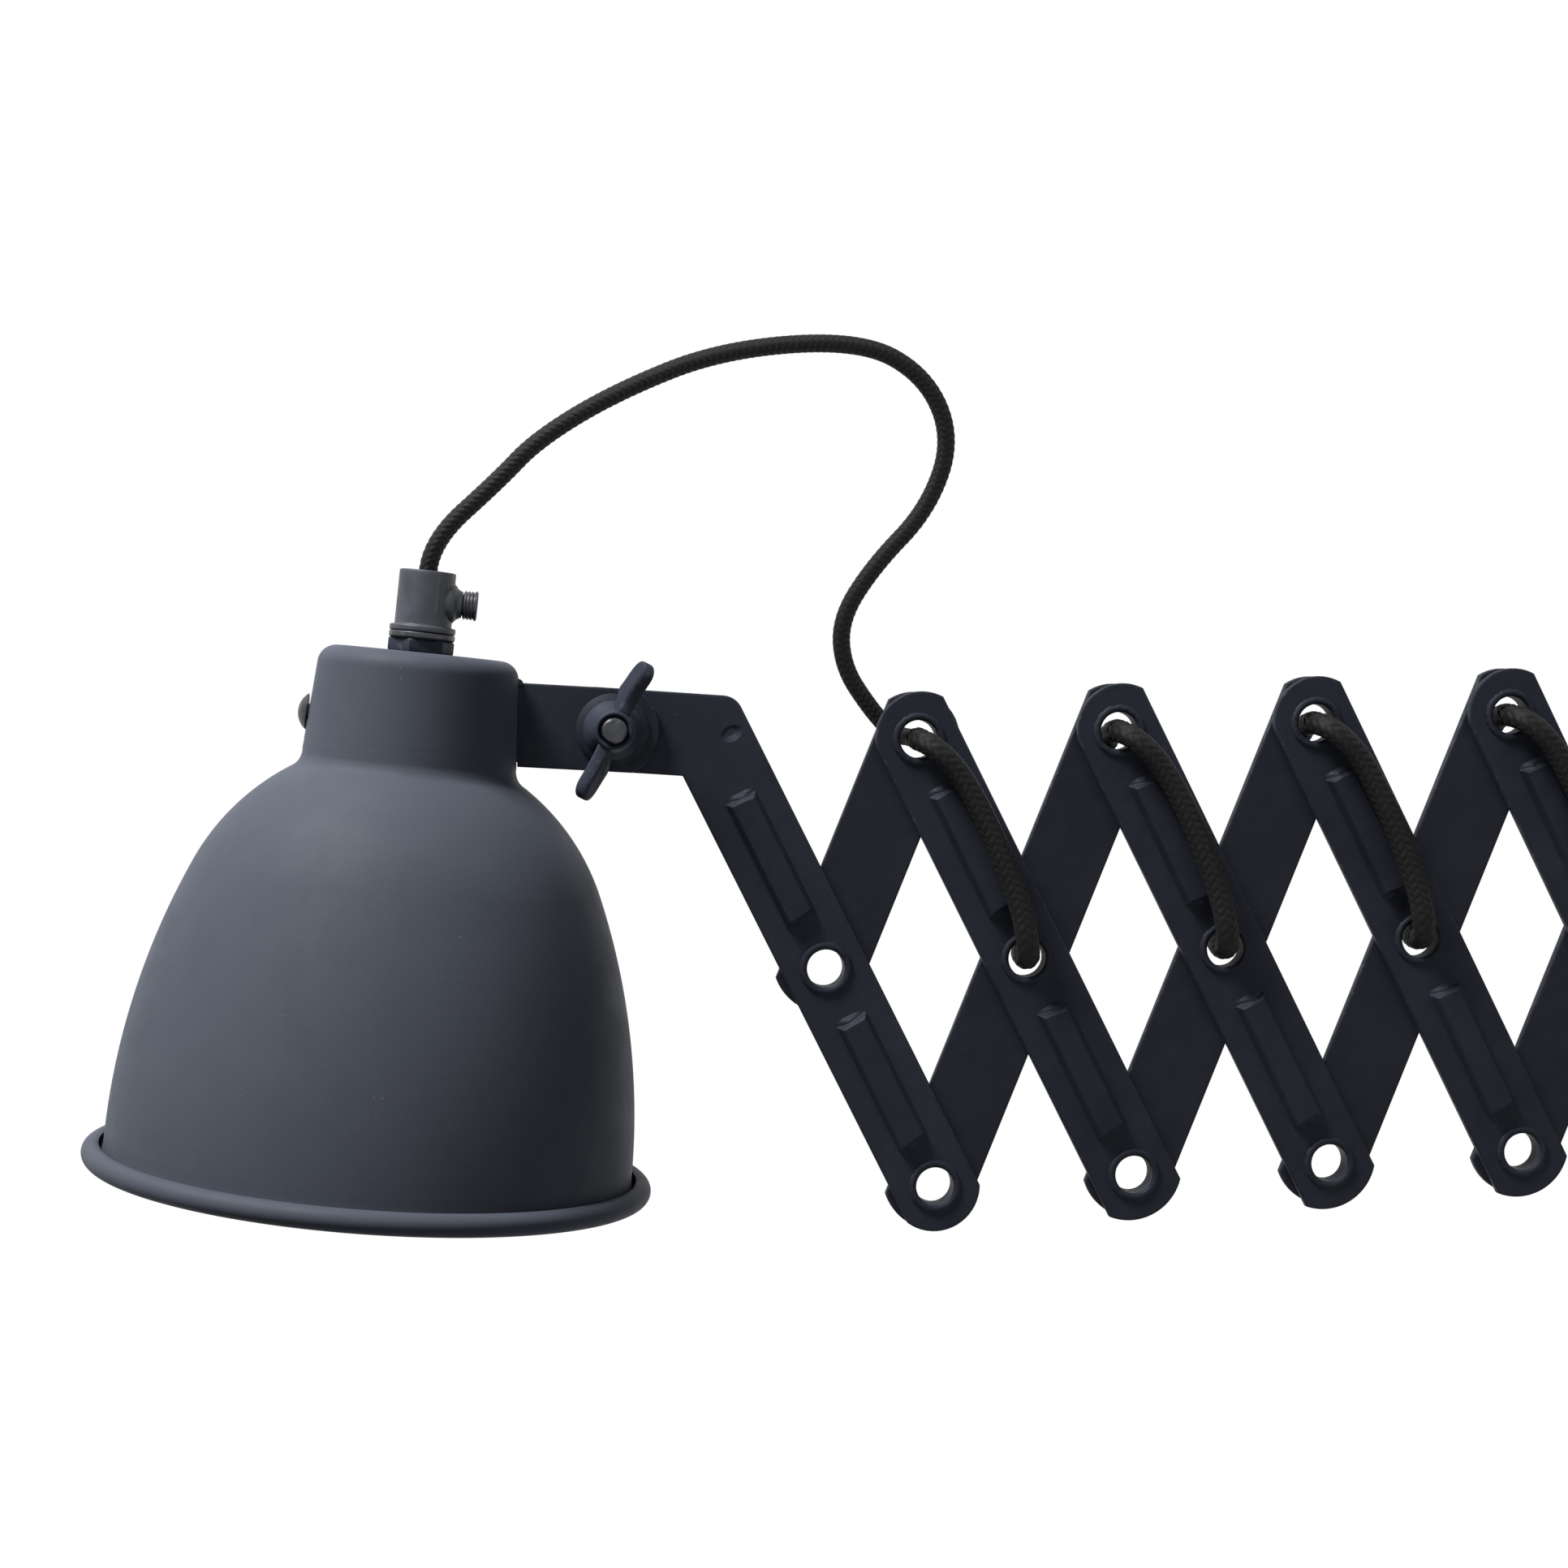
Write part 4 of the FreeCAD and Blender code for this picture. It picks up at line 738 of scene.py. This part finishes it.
for cell in range(1, CELLS):
    for side, lace, place in (("front", FRONT_LACE, front_place(cell)), ("back", BACK_LACE, back_place(cell))):
        line = place.points(spline_line(lace))
        piece = braided_tube(f"{side}_cord_{cell}", line, 0.0, whole(line), LACED_DIAMETER)
        on_body(piece, f"{side}_arm_{cell}", "black_braid", f"{side}_lace_{cell}")

# ---- bars, strips and eyelets

HALF_WIDTH = 12.5
NOSE = 14.0
NOSE_INSET = math.sqrt(NOSE * NOSE - HALF_WIDTH * HALF_WIDTH)
HOLE = 6.68
BAR_BACK = 0.15
BAR_FRONT = 3.15
BAR_BEVEL = 0.45


def nose(end, way, radius, offset):
    """A bar's end, cut by hand: an arc that reaches NOSE past the last hole, its middle offset across the bar."""
    middle = end + way * (NOSE - radius)
    across = np.array([-HALF_WIDTH, HALF_WIDTH]) * way
    along = middle + way * np.sqrt(radius * radius - np.minimum(np.abs(across - offset), radius) ** 2)
    return arc((along[0], across[0]), (along[1], across[1]), radius, 1, 22)


def bar_outline(first, last, low_end, high_end):
    """A straight bar between its noses, anticlockwise; each end is (radius, offset)."""
    return np.vstack([nose(last, 1, *high_end), nose(first, -1, *low_end)])


def flat_bar(name, first, holes, low, high, place, material, low_end, high_end):
    """A straight bar with its holes, as a plate."""
    loops = [bar_outline(first, REACH, low_end, high_end)] + [circle((x, 0), HOLE) for x in holes]
    return plate(name, loops, low, high, BAR_BEVEL, place, material)


ELBOW = -78.8
ELBOW_ROUND = 6.5
LEG = 29.3
LEG_TURN = rest_angle - math.radians(6.0)
BOLT_HOLE = 4.2


def on_leg(along, across):
    """A point of the bent arm's leg: along it from the elbow, and across it, outward up."""
    cos, sin = math.cos(LEG_TURN), math.sin(LEG_TURN)
    return np.array([ELBOW - along * cos - across * sin, across * cos - along * sin])


def bent_outline():
    """The bent arm: a straight stretch from its lower nose, the rounded elbow, and the leg to the bolt."""
    miter = HALF_WIDTH * math.tan(LEG_TURN / 2)
    inner = np.array([ELBOW + miter, -HALF_WIDTH])
    outer = np.array([ELBOW - miter, HALF_WIDTH])
    lower_nose = arc((REACH + NOSE_INSET, -HALF_WIDTH), (REACH + NOSE_INSET, HALF_WIDTH), NOSE, 1, 20)
    back = ELBOW_ROUND * math.tan(LEG_TURN / 2)
    leg_way = on_leg(1, 0) - on_leg(0, 0)
    elbow = arc(outer + (back, 0), outer + leg_way * back, ELBOW_ROUND, 1, 12)
    bolt_nose = arc(on_leg(LEG + NOSE_INSET, HALF_WIDTH), on_leg(LEG + NOSE_INSET, -HALF_WIDTH), NOSE, 1, 20)
    return np.vstack([[inner], lower_nose, elbow, bolt_nose])


bent_loops = [bent_outline(), circle((0, 0), HOLE), circle((REACH, 0), HOLE), circle(on_leg(LEG, 0), BOLT_HOLE)]
bent_arm = plate("arm_to_head", bent_loops, -BAR_FRONT, -BAR_BACK, BAR_BEVEL, front_place(0), lit_elbow_paint)
on_body(bent_arm, "front_arm_0", "charcoal_paint", "bent_arm")

for cell in range(CELLS):
    if cell:
        bar = flat_bar(
            f"front_flat_{cell}", -REACH, (-REACH, 0, REACH), -BAR_FRONT, -BAR_BACK, front_place(cell), bar_paint,
            (14.0, 0.9 + 0.2 * (cell % 3)), (16.5, 0.5 * (cell % 2) - 0.6),
        )
        on_body(bar, f"front_arm_{cell}", "charcoal_paint", f"front_bar_{cell}")
    stations = (-REACH, 0, REACH) if cell else (0, REACH)
    bar = flat_bar(
        f"back_flat_{cell}", stations[0], stations, BAR_BACK, BAR_FRONT, back_place(cell), shaded_back_paint,
        (16.0, 0.4 - 0.3 * (cell % 3)), (14.0, 0.9 + 0.3 * (cell % 2)),
    )
    on_body(bar, f"back_arm_{cell}", "charcoal_paint", f"back_bar_{cell}")

STRIPS = ((-37.3, 22.2), (38.8, 22.8))          # middle and half length of each, along the bar
STRIP_SIDE = 5.1
STRIP_RISE = 3.0
LESSER_WELD = ((1.2, 2.4), (-2.6, 2.6), (0.2, 0.5), (1.2, 1.8))      # inset, offset, rise and width of a small mound


def strip(name, place, middle, half, seed):
    """A strip welded on a bar: a flat top with softened edges, and a low, lumpy weld at each end.

    The strip stands STRIP_RISE (1 - (1 - t)^1.5) over the bar, with t the way in from its rim over the width of
    its edge. A weld is a mound 1.5 exp(-(d / size)^2) with two smaller ones by it, and strip and weld are joined
    as the fourth root of the sum of their fourth powers."""
    rng = np.random.default_rng(seed)
    x = np.linspace(-half, half, 199)
    y = np.linspace(-STRIP_SIDE, STRIP_SIDE, 49)
    x, y = np.meshgrid(x, y, indexing="ij")
    to_end = half - np.abs(x)
    to_side = STRIP_SIDE - np.abs(y)
    skew = rng.uniform(-0.16, 0.16, 2)
    way_in = np.minimum(to_side / 1.7, (to_end - 1.5 - y * np.where(x < 0, *skew)) / 1.5)
    strip_height = STRIP_RISE * (1 - (1 - np.clip(way_in, 0, 1)) ** 1.5)
    weld = np.zeros_like(x)
    for sign in (-1, 1):
        spots = [(1.9, rng.uniform(-1.2, 1.2), 1.5, 2.4)]
        spots += [[rng.uniform(*span) for span in LESSER_WELD] for _ in range(2)]
        for inset, offset, rise, width in spots:
            distance = (x - sign * (half - inset)) ** 2 + (y - offset) ** 2
            weld += rise * np.exp(-distance / width**2)
    weld *= np.clip(np.minimum(to_end, to_side) / 0.8, 0, 1)
    height = np.minimum((strip_height**4 + weld**4) ** 0.25, STRIP_RISE)
    points = np.stack([x + middle, -BAR_FRONT - height, y], -1).reshape(-1, 3)
    faces = grid_faces(*x.shape, closed_columns=False)
    wear = np.clip(1 - np.abs(way_in - 0.8) / 0.4, 0, 1) * 0.8
    return mesh_piece(
        name, place.points(points), faces, bar_paint,
        uv=np.stack([x, y], -1).reshape(-1, 2), values={"wear": wear.ravel()},
    )


EYELET_BORE = 5.75
EYELET_TUBE = 6.6
LIP_RADIUS = 8.1
LIP = 1.0
LIP_BACK = BAR_FRONT + 0.15


def eyelet(name, place, seed):
    """A rolled tubular eyelet: its lips are half rounds, cracked and flattened unevenly as they were rolled."""
    rng = np.random.default_rng(seed)
    mid, half = (EYELET_BORE + LIP_RADIUS) / 2, (LIP_RADIUS - EYELET_BORE) / 2
    roll = np.linspace(0, math.pi, 12)
    front = np.column_stack([mid - half * np.cos(roll), BAR_FRONT + LIP * np.sin(roll)])
    back = np.column_stack([mid + half * np.cos(roll), -LIP_BACK - LIP * np.sin(roll)])
    profile = np.vstack([front, [(EYELET_TUBE, BAR_FRONT)], [(EYELET_TUBE, -LIP_BACK)], back, front[:1]])
    waves = [(rng.uniform(0.2, 1), rng.integers(3, 26), rng.uniform(0, TURN)) for _ in range(9)]

    def rolled(angle, radius, height):
        """The lip's outer edge is drawn in by up to 0.32 mm: r' = r - 0.32 share w(angle), with w a sum of sines."""
        wave = sum(a * np.sin(n * angle + shift) for a, n, shift in waves) / 3
        share = np.clip((radius - mid) / half, 0, 1)
        draw = np.clip(wave, 0, 1)
        lift = np.sign(height) * 0.10 * np.clip(-wave, 0, 1) * (np.abs(height) > BAR_FRONT + 0.2)
        return radius - 0.32 * share * draw, height - np.abs(lift) * np.sign(height)

    return turned(name, profile, place, eyelet_paint, count=96, axis="Y", warp=rolled)


for cell in range(CELLS):
    place = front_place(cell)
    strips = [strip("strip", place, *at, 7 + 5 * cell + k) for k, at in enumerate(STRIPS)]
    on_body(joined(f"strips_{cell}", strips), f"front_arm_{cell}", "charcoal_paint", f"bar_strips_{cell}")
    stations = (-REACH, 0, REACH) if cell else (0, REACH)
    rings = [eyelet("ring", place.moved((x, 0, 0)), 31 * cell + k) for k, x in enumerate(stations)]
    on_body(joined(f"rolled_eyelets_{cell}", rings), f"front_arm_{cell}", "black_hardware", f"eyelets_{cell}")

# ---- shade

WALL = 1.0
MOUTH = (77.6, -118.3)
WAIST = (59.9, -31.8)
WAIST_SLOPE = math.radians(66.4)
NECK_TOP = 29.6
NECK_BASE = 31.6
NECK_HEIGHT = 35.0
NECK_CORNER = 5.5
SHOULDER = math.radians(32)
SHOULDER_FILLET = 5.0
FILLET_RUN = SHOULDER_FILLET * math.tan((math.pi / 2 - SHOULDER) / 2)
BEAD = 3.25
BEAD_BITE = 0.4
CAP_HOLE = 5.1


def smooth_radius(end):
    """Radius of the arc that leaves the waist along its slope and passes end."""
    across, along = end[0] - WAIST[0], end[1] - WAIST[1]
    return -(across**2 + along**2) / 2 / (across * math.sin(WAIST_SLOPE) + along * math.cos(WAIST_SLOPE))


def shade_line():
    """The outside of the shade from above the wired edge to the hole in its cap."""
    shoulder = (NECK_BASE + FILLET_RUN * math.cos(SHOULDER), -FILLET_RUN * math.sin(SHOULDER))
    corner_in = NECK_TOP - NECK_CORNER
    return np.vstack(
        [
            arc(MOUTH, WAIST, smooth_radius(MOUTH), 1, 60)[1:],
            arc(WAIST, shoulder, smooth_radius(shoulder), 1, 50)[1:],
            arc(shoulder, (NECK_BASE, FILLET_RUN), SHOULDER_FILLET, -1, 8)[1:],
            fine(np.array([(NECK_BASE, FILLET_RUN), (NECK_TOP, NECK_HEIGHT - NECK_CORNER)]), 1.5)[1:],
            arc((NECK_TOP, NECK_HEIGHT - NECK_CORNER), (corner_in, NECK_HEIGHT), NECK_CORNER, 1, 10)[1:],
            fine(np.array([(corner_in, NECK_HEIGHT), (CAP_HOLE, NECK_HEIGHT)]), 2.0)[1:],
        ]
    )


def offset_line(line, amount):
    """The open line moved to the left of its way."""
    way = unit(np.gradient(line, axis=0))
    return line + amount * np.column_stack([-way[:, 1], way[:, 0]])


BEAD_GAP = 1.4                  # between the wall and the curl's own edge
BEAD_SHEET = 0.9


def bead_line():
    """The rolled edge, from the inside of the mouth, below, outside and over, then back round its hollow."""
    centre = np.array([MOUTH[0] + BEAD - BEAD_BITE, MOUTH[1]])
    over = math.acos((BEAD_GAP - BEAD + BEAD_BITE) / BEAD)
    out = np.linspace(-math.pi, over, 36)
    back = np.linspace(over, -math.pi, 26)
    return np.vstack([centre + BEAD * around(out), centre + (BEAD - BEAD_SHEET) * around(back)])


def make_shade():
    """The shade's outside with its wired edge, and its painted inside.

    Hand spinning leaves it a little out of round, s rising from 0 on the neck to 1 at r = 62:
    r' = r (1 + s (e cos(2a + 0.6) + e/2 cos(3a) - 0.002)) - ring, e = 0.0018, ring being two grooves up the neck."""
    outside = shade_line()
    inside = offset_line(outside, WALL)[::-1]
    inside = inside[inside[:, 1] < NECK_HEIGHT - WALL + 0.01]

    def uneven(angle, radius, height):
        """The turned grid, out of round and grooved."""
        share = np.clip((radius - 32) / 30, 0, 1)
        ripple = 0.0018 * (np.cos(2 * angle + 0.6) + 0.5 * np.cos(3 * angle)) * share
        ring = 0.14 * np.exp(-((height - 2.6) / 0.6) ** 2) + 0.10 * np.exp(-((height - 5.4) / 0.5) ** 2)
        return radius * (1 - 0.002 * share + ripple) - ring, height

    bead = bead_line()
    outer = turned("shade_outside", np.vstack([bead, outside[1:]]), head_place, shade_paint, 224, warp=uneven)
    lining = np.vstack([[(CAP_HOLE, NECK_HEIGHT)], inside, [(MOUTH[0] - WALL, MOUTH[1] - 0.5)], bead[:1]])
    inner = turned("shade_inside", lining, head_place, shade_lining, 160, warp=uneven)
    return joined("spun_shade", [outer, inner])


on_body(make_shade(), "lamp_head", "charcoal_paint", "shade")

# ---- lug, its weld and the clamp

LUG_RISE = math.radians(2.6)
LUG_HALF = 1.5


def on_lug(along, across):
    """A point of the lug: outward from the bolt hole, and up across it."""
    cos, sin = math.cos(LUG_RISE), math.sin(LUG_RISE)
    return np.array([BOLT_REACH + along * cos - across * sin, BOLT_HEIGHT + along * sin + across * cos])


def neck_radius(height):
    """Radius of the neck's outside at that height."""
    share = (height - FILLET_RUN) / (NECK_HEIGHT - NECK_CORNER - FILLET_RUN)
    return NECK_BASE + (NECK_TOP - NECK_BASE) * share


def lug_outline():
    """The lug: from its foot on the neck to a nose round the bolt."""
    foot = [on_lug(-(BOLT_REACH - neck_radius(h) + 0.3), a) for h, a in ((5.5, -HALF_WIDTH), (30.5, HALF_WIDTH))]
    nose = arc(on_lug(NOSE_INSET, -HALF_WIDTH), on_lug(NOSE_INSET, HALF_WIDTH), NOSE, 1, 22)
    return np.vstack([[foot[0]], nose, [foot[1]]])


def weld_bead(name, side, seed):
    """A hollow weld up the neck beside the lug: a quarter circle of radius 1.9 with slow lumps and faint ripples."""
    rng = np.random.default_rng(seed)
    heights = np.linspace(5.6, 30.4, 120)
    lumps = sum(rng.uniform(0.1, 0.3) * np.sin(heights * f + rng.uniform(0, TURN)) for f in (0.5, 1.1, 1.9, 3.1))
    ends = np.sqrt(np.clip((heights - 5.6) / 1.6, 0, 1) * np.clip((30.4 - heights) / 1.6, 0, 1))
    radius = ((1.9 + 0.12 * np.sin(heights * 3.8) + 0.5 * lumps) * ends)[:, None]
    turn = np.linspace(0, math.pi / 2, 12)
    swell = 0.16 * np.sin(2 * turn) * radius
    v = LUG_HALF - 0.05 + radius * (1 - np.sin(turn)) + swell
    u = np.sqrt(neck_radius(heights)[:, None] ** 2 - v**2) - 0.05 + radius * (1 - np.cos(turn)) + swell
    w = np.repeat(heights[:, None], len(turn), axis=1)
    faces = grid_faces(len(heights), len(turn), closed_columns=False)
    if side > 0:
        faces = [quad[::-1] for quad in faces]
    points = head_place.points(np.stack([u, side * v, w], -1).reshape(-1, 3))
    uv = np.column_stack([u.ravel(), w.ravel()])
    return mesh_piece(name, points, faces, bar_paint, uv=uv, values={"wear": np.full(u.size, 0.2)})


lug_loops = [lug_outline(), circle((BOLT_REACH, BOLT_HEIGHT), BOLT_HOLE)]
lug = plate("lug_flat", lug_loops, -LUG_HALF, LUG_HALF, BAR_BEVEL, head_place, bar_paint)
welds = [weld_bead("weld", side, 5 + side) for side in (-1, 1)]
on_body(joined("welded_lug", [lug] + welds), "lamp_head", "charcoal_paint", "tilt_lug")

bolt_place = Place((bolt_at[0], 0, bolt_at[2]))
BOLT_FLATS = 13.0
LUG_FRONT = 6.35
WASHER_FRONT = LUG_FRONT + 2.0
NUT_BACK = WASHER_FRONT + 0.1
NUT_FRONT = NUT_BACK + 11.0
BOLT_END = NUT_FRONT + 1.5


def rounded(points, radius, count=5):
    """The open profile with its inner corners rounded."""
    points = np.asarray(points, float)
    out = [points[:1]]
    for before, corner, after in zip(points[:-2], points[1:-1], points[2:]):
        a, b = before - corner, after - corner
        la, lb = np.hypot(*a), np.hypot(*b)
        angle = math.acos(np.clip(a.dot(b) / la / lb, -1, 1))
        reach = min(radius / math.tan(angle / 2), 0.45 * la, 0.45 * lb)
        start, end = corner + a / la * reach, corner + b / lb * reach
        side = np.sign(a[1] * b[0] - a[0] * b[1]) or 1
        out.append(arc(start, end, reach * math.tan(angle / 2), side, count))
    return np.vstack(out + [points[-1:]])


washer_profile = rounded(
    [
        (BOLT_HOLE, LUG_FRONT), (10.9, LUG_FRONT), (10.9, LUG_FRONT + 0.9), (8.5, WASHER_FRONT),
        (BOLT_HOLE, WASHER_FRONT),
    ],
    0.45,
)
washer = turned("dished_washer", washer_profile, bolt_place, bar_paint, 96, axis="Y", closed=True)
on_body(washer, "lamp_head", "charcoal_paint", "clamp_washer")

shank_profile = rounded(
    [(0.01, BOLT_END), (3.2, BOLT_END), (3.75, BOLT_END - 0.6), (3.75, 8.0), (3.95, 7.5), (3.95, 0.1), (0.01, 0.1)], 0.3
)
shank = turned("shank", shank_profile, bolt_place, screw_metal, 64, axis="Y")


def hexagon(across):
    """Corners of a hexagon by its width across flats, anticlockwise, with its sides divided."""
    angles = np.arange(7) * TURN / 6
    return fine(across / math.sqrt(3) * around(angles), 2.5)[:-1]


bolt_hex = plate("hex", [hexagon(BOLT_FLATS)], 0.15, 5.3, 0.5, bolt_place, screw_metal)
on_body(joined("tilt_bolt", [shank, bolt_hex]), "front_arm_0", "black_hardware", "clamp_bolt")

WING_TURN = math.radians(61)
wing_place = Place(bolt_place.origin, about_y(-WING_TURN))


def wing_blade(name, side):
    """A wing: narrow where it leaves the hub, broad and round at its tip, and leaned over a little."""
    base = [(3.0, 2.6), (8.5, 3.6), (12.5, 5.6), (15.5, 7.6), (19.0, 9.6), (21.6, 11.8), (22.4, 13.8)]
    tip = [(21.9, 15.2), (20.4, 15.9), (18.4, 15.7), (15.6, 13.9), (12.0, 11.6), (8.0, 10.0), (3.0, 9.4)]
    loop = np.array(base + tip)
    loop = np.vstack([loop, loop[:1]])
    run = np.concatenate([[0], np.cumsum(np.hypot(*np.diff(loop, axis=0).T))])
    at = np.linspace(0, run[-1], 72, endpoint=False)
    loop = between(at, run, loop)
    for _ in range(6):
        loop = (np.roll(loop, 1, axis=0) + 2 * loop + np.roll(loop, -1, axis=0)) / 4

    def leaned(a, b, depth):
        """Leaned about the middle line b = 5 + 0.42 a, by 0.1 of the height over it at the hub and 0.55 at the tip."""
        lean = 0.1 + 0.45 * np.clip((a - 4) / 8, 0, 1)
        thin = 1 - 0.12 * np.clip((a - 8) / 14, 0, 1)
        return side * a, -(NUT_BACK + b), side * (depth * thin - lean * (b - 5 - 0.42 * a))

    return plate(name, [loop], -2.0, 2.0, 0.8, wing_place, lit_nut_paint, as_xyz=leaned, wear_ring=0.4)


hub_profile = rounded(
    [
        (4.05, NUT_BACK), (8.8, NUT_BACK), (8.8, NUT_BACK + 1.6), (6.7, NUT_BACK + 4.2),
        (6.0, NUT_FRONT - 2.5), (5.6, NUT_FRONT - 0.3), (5.2, NUT_FRONT), (4.7, NUT_FRONT - 0.1),
        (4.05, NUT_FRONT - 1.6),
    ],
    0.8,
)
hub = turned("hub", hub_profile, bolt_place, lit_nut_paint, 72, axis="Y", closed=True)
wings = [wing_blade("wing", side) for side in (1, -1)]
on_body(joined("cast_wing_nut", [hub] + wings), "wing_nut_body", "black_hardware", "wing_nut")

# ---- cord grip and cap

CAP_NUT_FLATS = 17.0
CAP_NUT_TOP = NECK_HEIGHT + 4.0
WASHER_TOP = CAP_NUT_TOP + 2.2
FLANGE_TOP = WASHER_TOP + 1.7
GRIP_RADIUS = 8.3
SEAM = math.radians(-62)
BOSS_HEIGHT = FLANGE_TOP + 7.5
nut_place = head_place.moved((0, 0, 0), Matrix.Rotation(math.radians(12), 3, "Z"))


def upright(a, b, depth):
    """A plate that lies across the shade's axis."""
    return a, b, depth


cap_loops = [hexagon(CAP_NUT_FLATS), circle((0, 0), CAP_HOLE)]
cap_nut = plate("cap_hex", cap_loops, NECK_HEIGHT, CAP_NUT_TOP, 0.55, nut_place, lit_nut_paint, upright)
on_body(cap_nut, "lamp_head", "black_hardware", "cap_nut")
ring_profile = rounded(
    [
        (CAP_HOLE, CAP_NUT_TOP), (9.3, CAP_NUT_TOP), (9.7, CAP_NUT_TOP + 0.5), (9.7, WASHER_TOP - 0.4),
        (9.2, WASHER_TOP), (CAP_HOLE, WASHER_TOP),
    ],
    0.35,
)
ring = turned("grip_ring", ring_profile, head_place, screw_metal, 96, closed=True)
on_body(ring, "lamp_head", "black_hardware", "grip_washer")

grip_profile = rounded(
    [
        (CAP_HOLE, WASHER_TOP), (9.7, WASHER_TOP), (9.7, FLANGE_TOP - 0.2), (9.3, FLANGE_TOP + 0.1),
        (GRIP_RADIUS + 0.1, FLANGE_TOP + 0.15), (GRIP_RADIUS, GRIP_TOP - 0.2),
        (GRIP_RADIUS - 0.5, GRIP_TOP), (4.2, GRIP_TOP), (3.0, GRIP_TOP - 0.8), (2.95, GRIP_TOP - 6.0),
    ],
    0.35,
)


def seamed(angle, radius, height):
    """A mould line stands 0.3 mm proud up the grip: r' = r + 0.3 exp(-(arc / 0.4)^2), a little ragged."""
    off = np.mod(angle - SEAM + math.pi, TURN) - math.pi
    stands = (radius > 7) & (height > FLANGE_TOP + 3)
    ragged = 0.7 + 0.3 * np.sin(height * 7) * np.sin(height * 2.3)
    return radius + 0.3 * ragged * np.exp(-((off * GRIP_RADIUS / 0.4) ** 2)) * stands, height


grip = turned("grip_body", fine(grip_profile, 1.2), head_place, grip_grey, 256, warp=seamed)
boss_place = head_place.moved((0, 0, BOSS_HEIGHT))
boss_profile = rounded(
    [(6.2, 3.0), (6.2, 7.6), (5.6, 8.6), (4.5, 9.5), (3.9, 10.6), (3.9, 10.9), (3.1, 10.9), (3.1, 8.0)], 0.8
)
boss = turned("boss", boss_profile, boss_place, grip_grey, 72, axis="X")
on_body(joined("moulded_grip", [grip, boss]), "lamp_head", "grip_plastic", "cord_grip")
ridges = [(4.4 if k % 2 else 3.8, 15.2 - 0.5 * k) for k in range(1, 9)]
screw_profile = rounded([(0.01, 15.4), (3.9, 15.4), (4.4, 15.1)] + ridges + [(3.0, 11.0), (3.0, 4.0), (0.01, 4.0)], 0.2)
grip_screw = turned("grip_screw_dome", screw_profile, boss_place, screw_metal, 64, axis="X")
on_body(grip_screw, "lamp_head", "black_hardware", "grip_screw")

NECK_SCREW_HEIGHT = 14.5
NECK_SEAT = -31.09
screw_place = head_place.moved((0, 0, NECK_SCREW_HEIGHT))
dome = arc((0.01, NECK_SEAT - 2.8), (5.3, NECK_SEAT - 0.3), 6.9, 1, 12)
neck_shank = [(5.3, NECK_SEAT), (2.4, NECK_SEAT), (2.4, NECK_SEAT + 9.5), (0.01, NECK_SEAT + 9.8)]
neck_profile = np.vstack([dome, neck_shank])
neck_screw = turned("neck_screw_dome", neck_profile, screw_place, screw_metal, 48, axis="X")
on_body(neck_screw, "lamp_head", "black_hardware", "neck_screw")

# ---- finishes of the remaining CAD nodes

NODE_FINISHES = {
    bracket_paint: ["wall_plate", "upper_ear", "lower_ear", "upper_lug", "lower_lug"],
    screw_metal: [
        "guide_rod", "rod_nuts", "stop_collars", "upper_sleeve", "lower_sleeve", "neck_screw_nut", "threaded_nipple",
    ],
    eyelet_paint: ["upper_eyelet"],
    holder_black: ["holder_cap", "holder_body"],
    brass: ["screw_shell", "centre_contact"],
    entry_rubber: ["cable_grommet", "inner_lead"],
}
for material, names in NODE_FINISHES.items():
    for name in names:
        node = frame["nodes"][name]
        node.data.materials.clear()
        node.data.materials.append(material)

# ---- light and backdrop


def area_light(name, place, aim, size, power):
    """A soft square lamp at a place, aimed at a point; both in millimetres."""
    data = bpy.data.lights.new(name, "AREA")
    data.shape = "SQUARE"
    data.size = size * MM
    data.energy = power
    light = bpy.data.objects.new(name, data)
    bpy.context.scene.collection.objects.link(light)
    way = Vector(aim) - Vector(place)
    light.matrix_world = Matrix.Translation(Vector(place) * MM) @ way.to_track_quat("-Z", "Y").to_matrix().to_4x4()


def set_world(grey):
    """White where the camera, a shine or a clear piece looks at it, and grey as a light."""
    world = bpy.data.worlds.new("studio")
    bpy.context.scene.world = world
    nodes = Nodes(world)
    path = nodes.node("LightPath").outputs
    seen = path["Is Camera Ray"]
    for ray in ("Is Glossy Ray", "Is Transmission Ray"):
        seen = nodes.maths("MAXIMUM", seen, path[ray])
    light = nodes.node("Background", Color=(grey, grey, grey * 1.02))
    white = nodes.node("Background", Color=(1.0, 1.0, 1.0))
    mix = nodes.node("MixShader")
    nodes.fill(mix, {0: seen, 1: light.outputs[0], 2: white.outputs[0]})
    nodes.node("OutputWorld", Surface=mix.outputs[0])


LAMP_MIDDLE = (-300, 0, 20)
WORLD_GREY = 0.07
area_light("key", (-1250, -480, 1750), LAMP_MIDDLE, size=600, power=76)
area_light("side", (500, -1000, 200), LAMP_MIDDLE, size=900, power=1.2)
set_world(WORLD_GREY)
bpy.context.scene.view_settings.view_transform = "Standard"
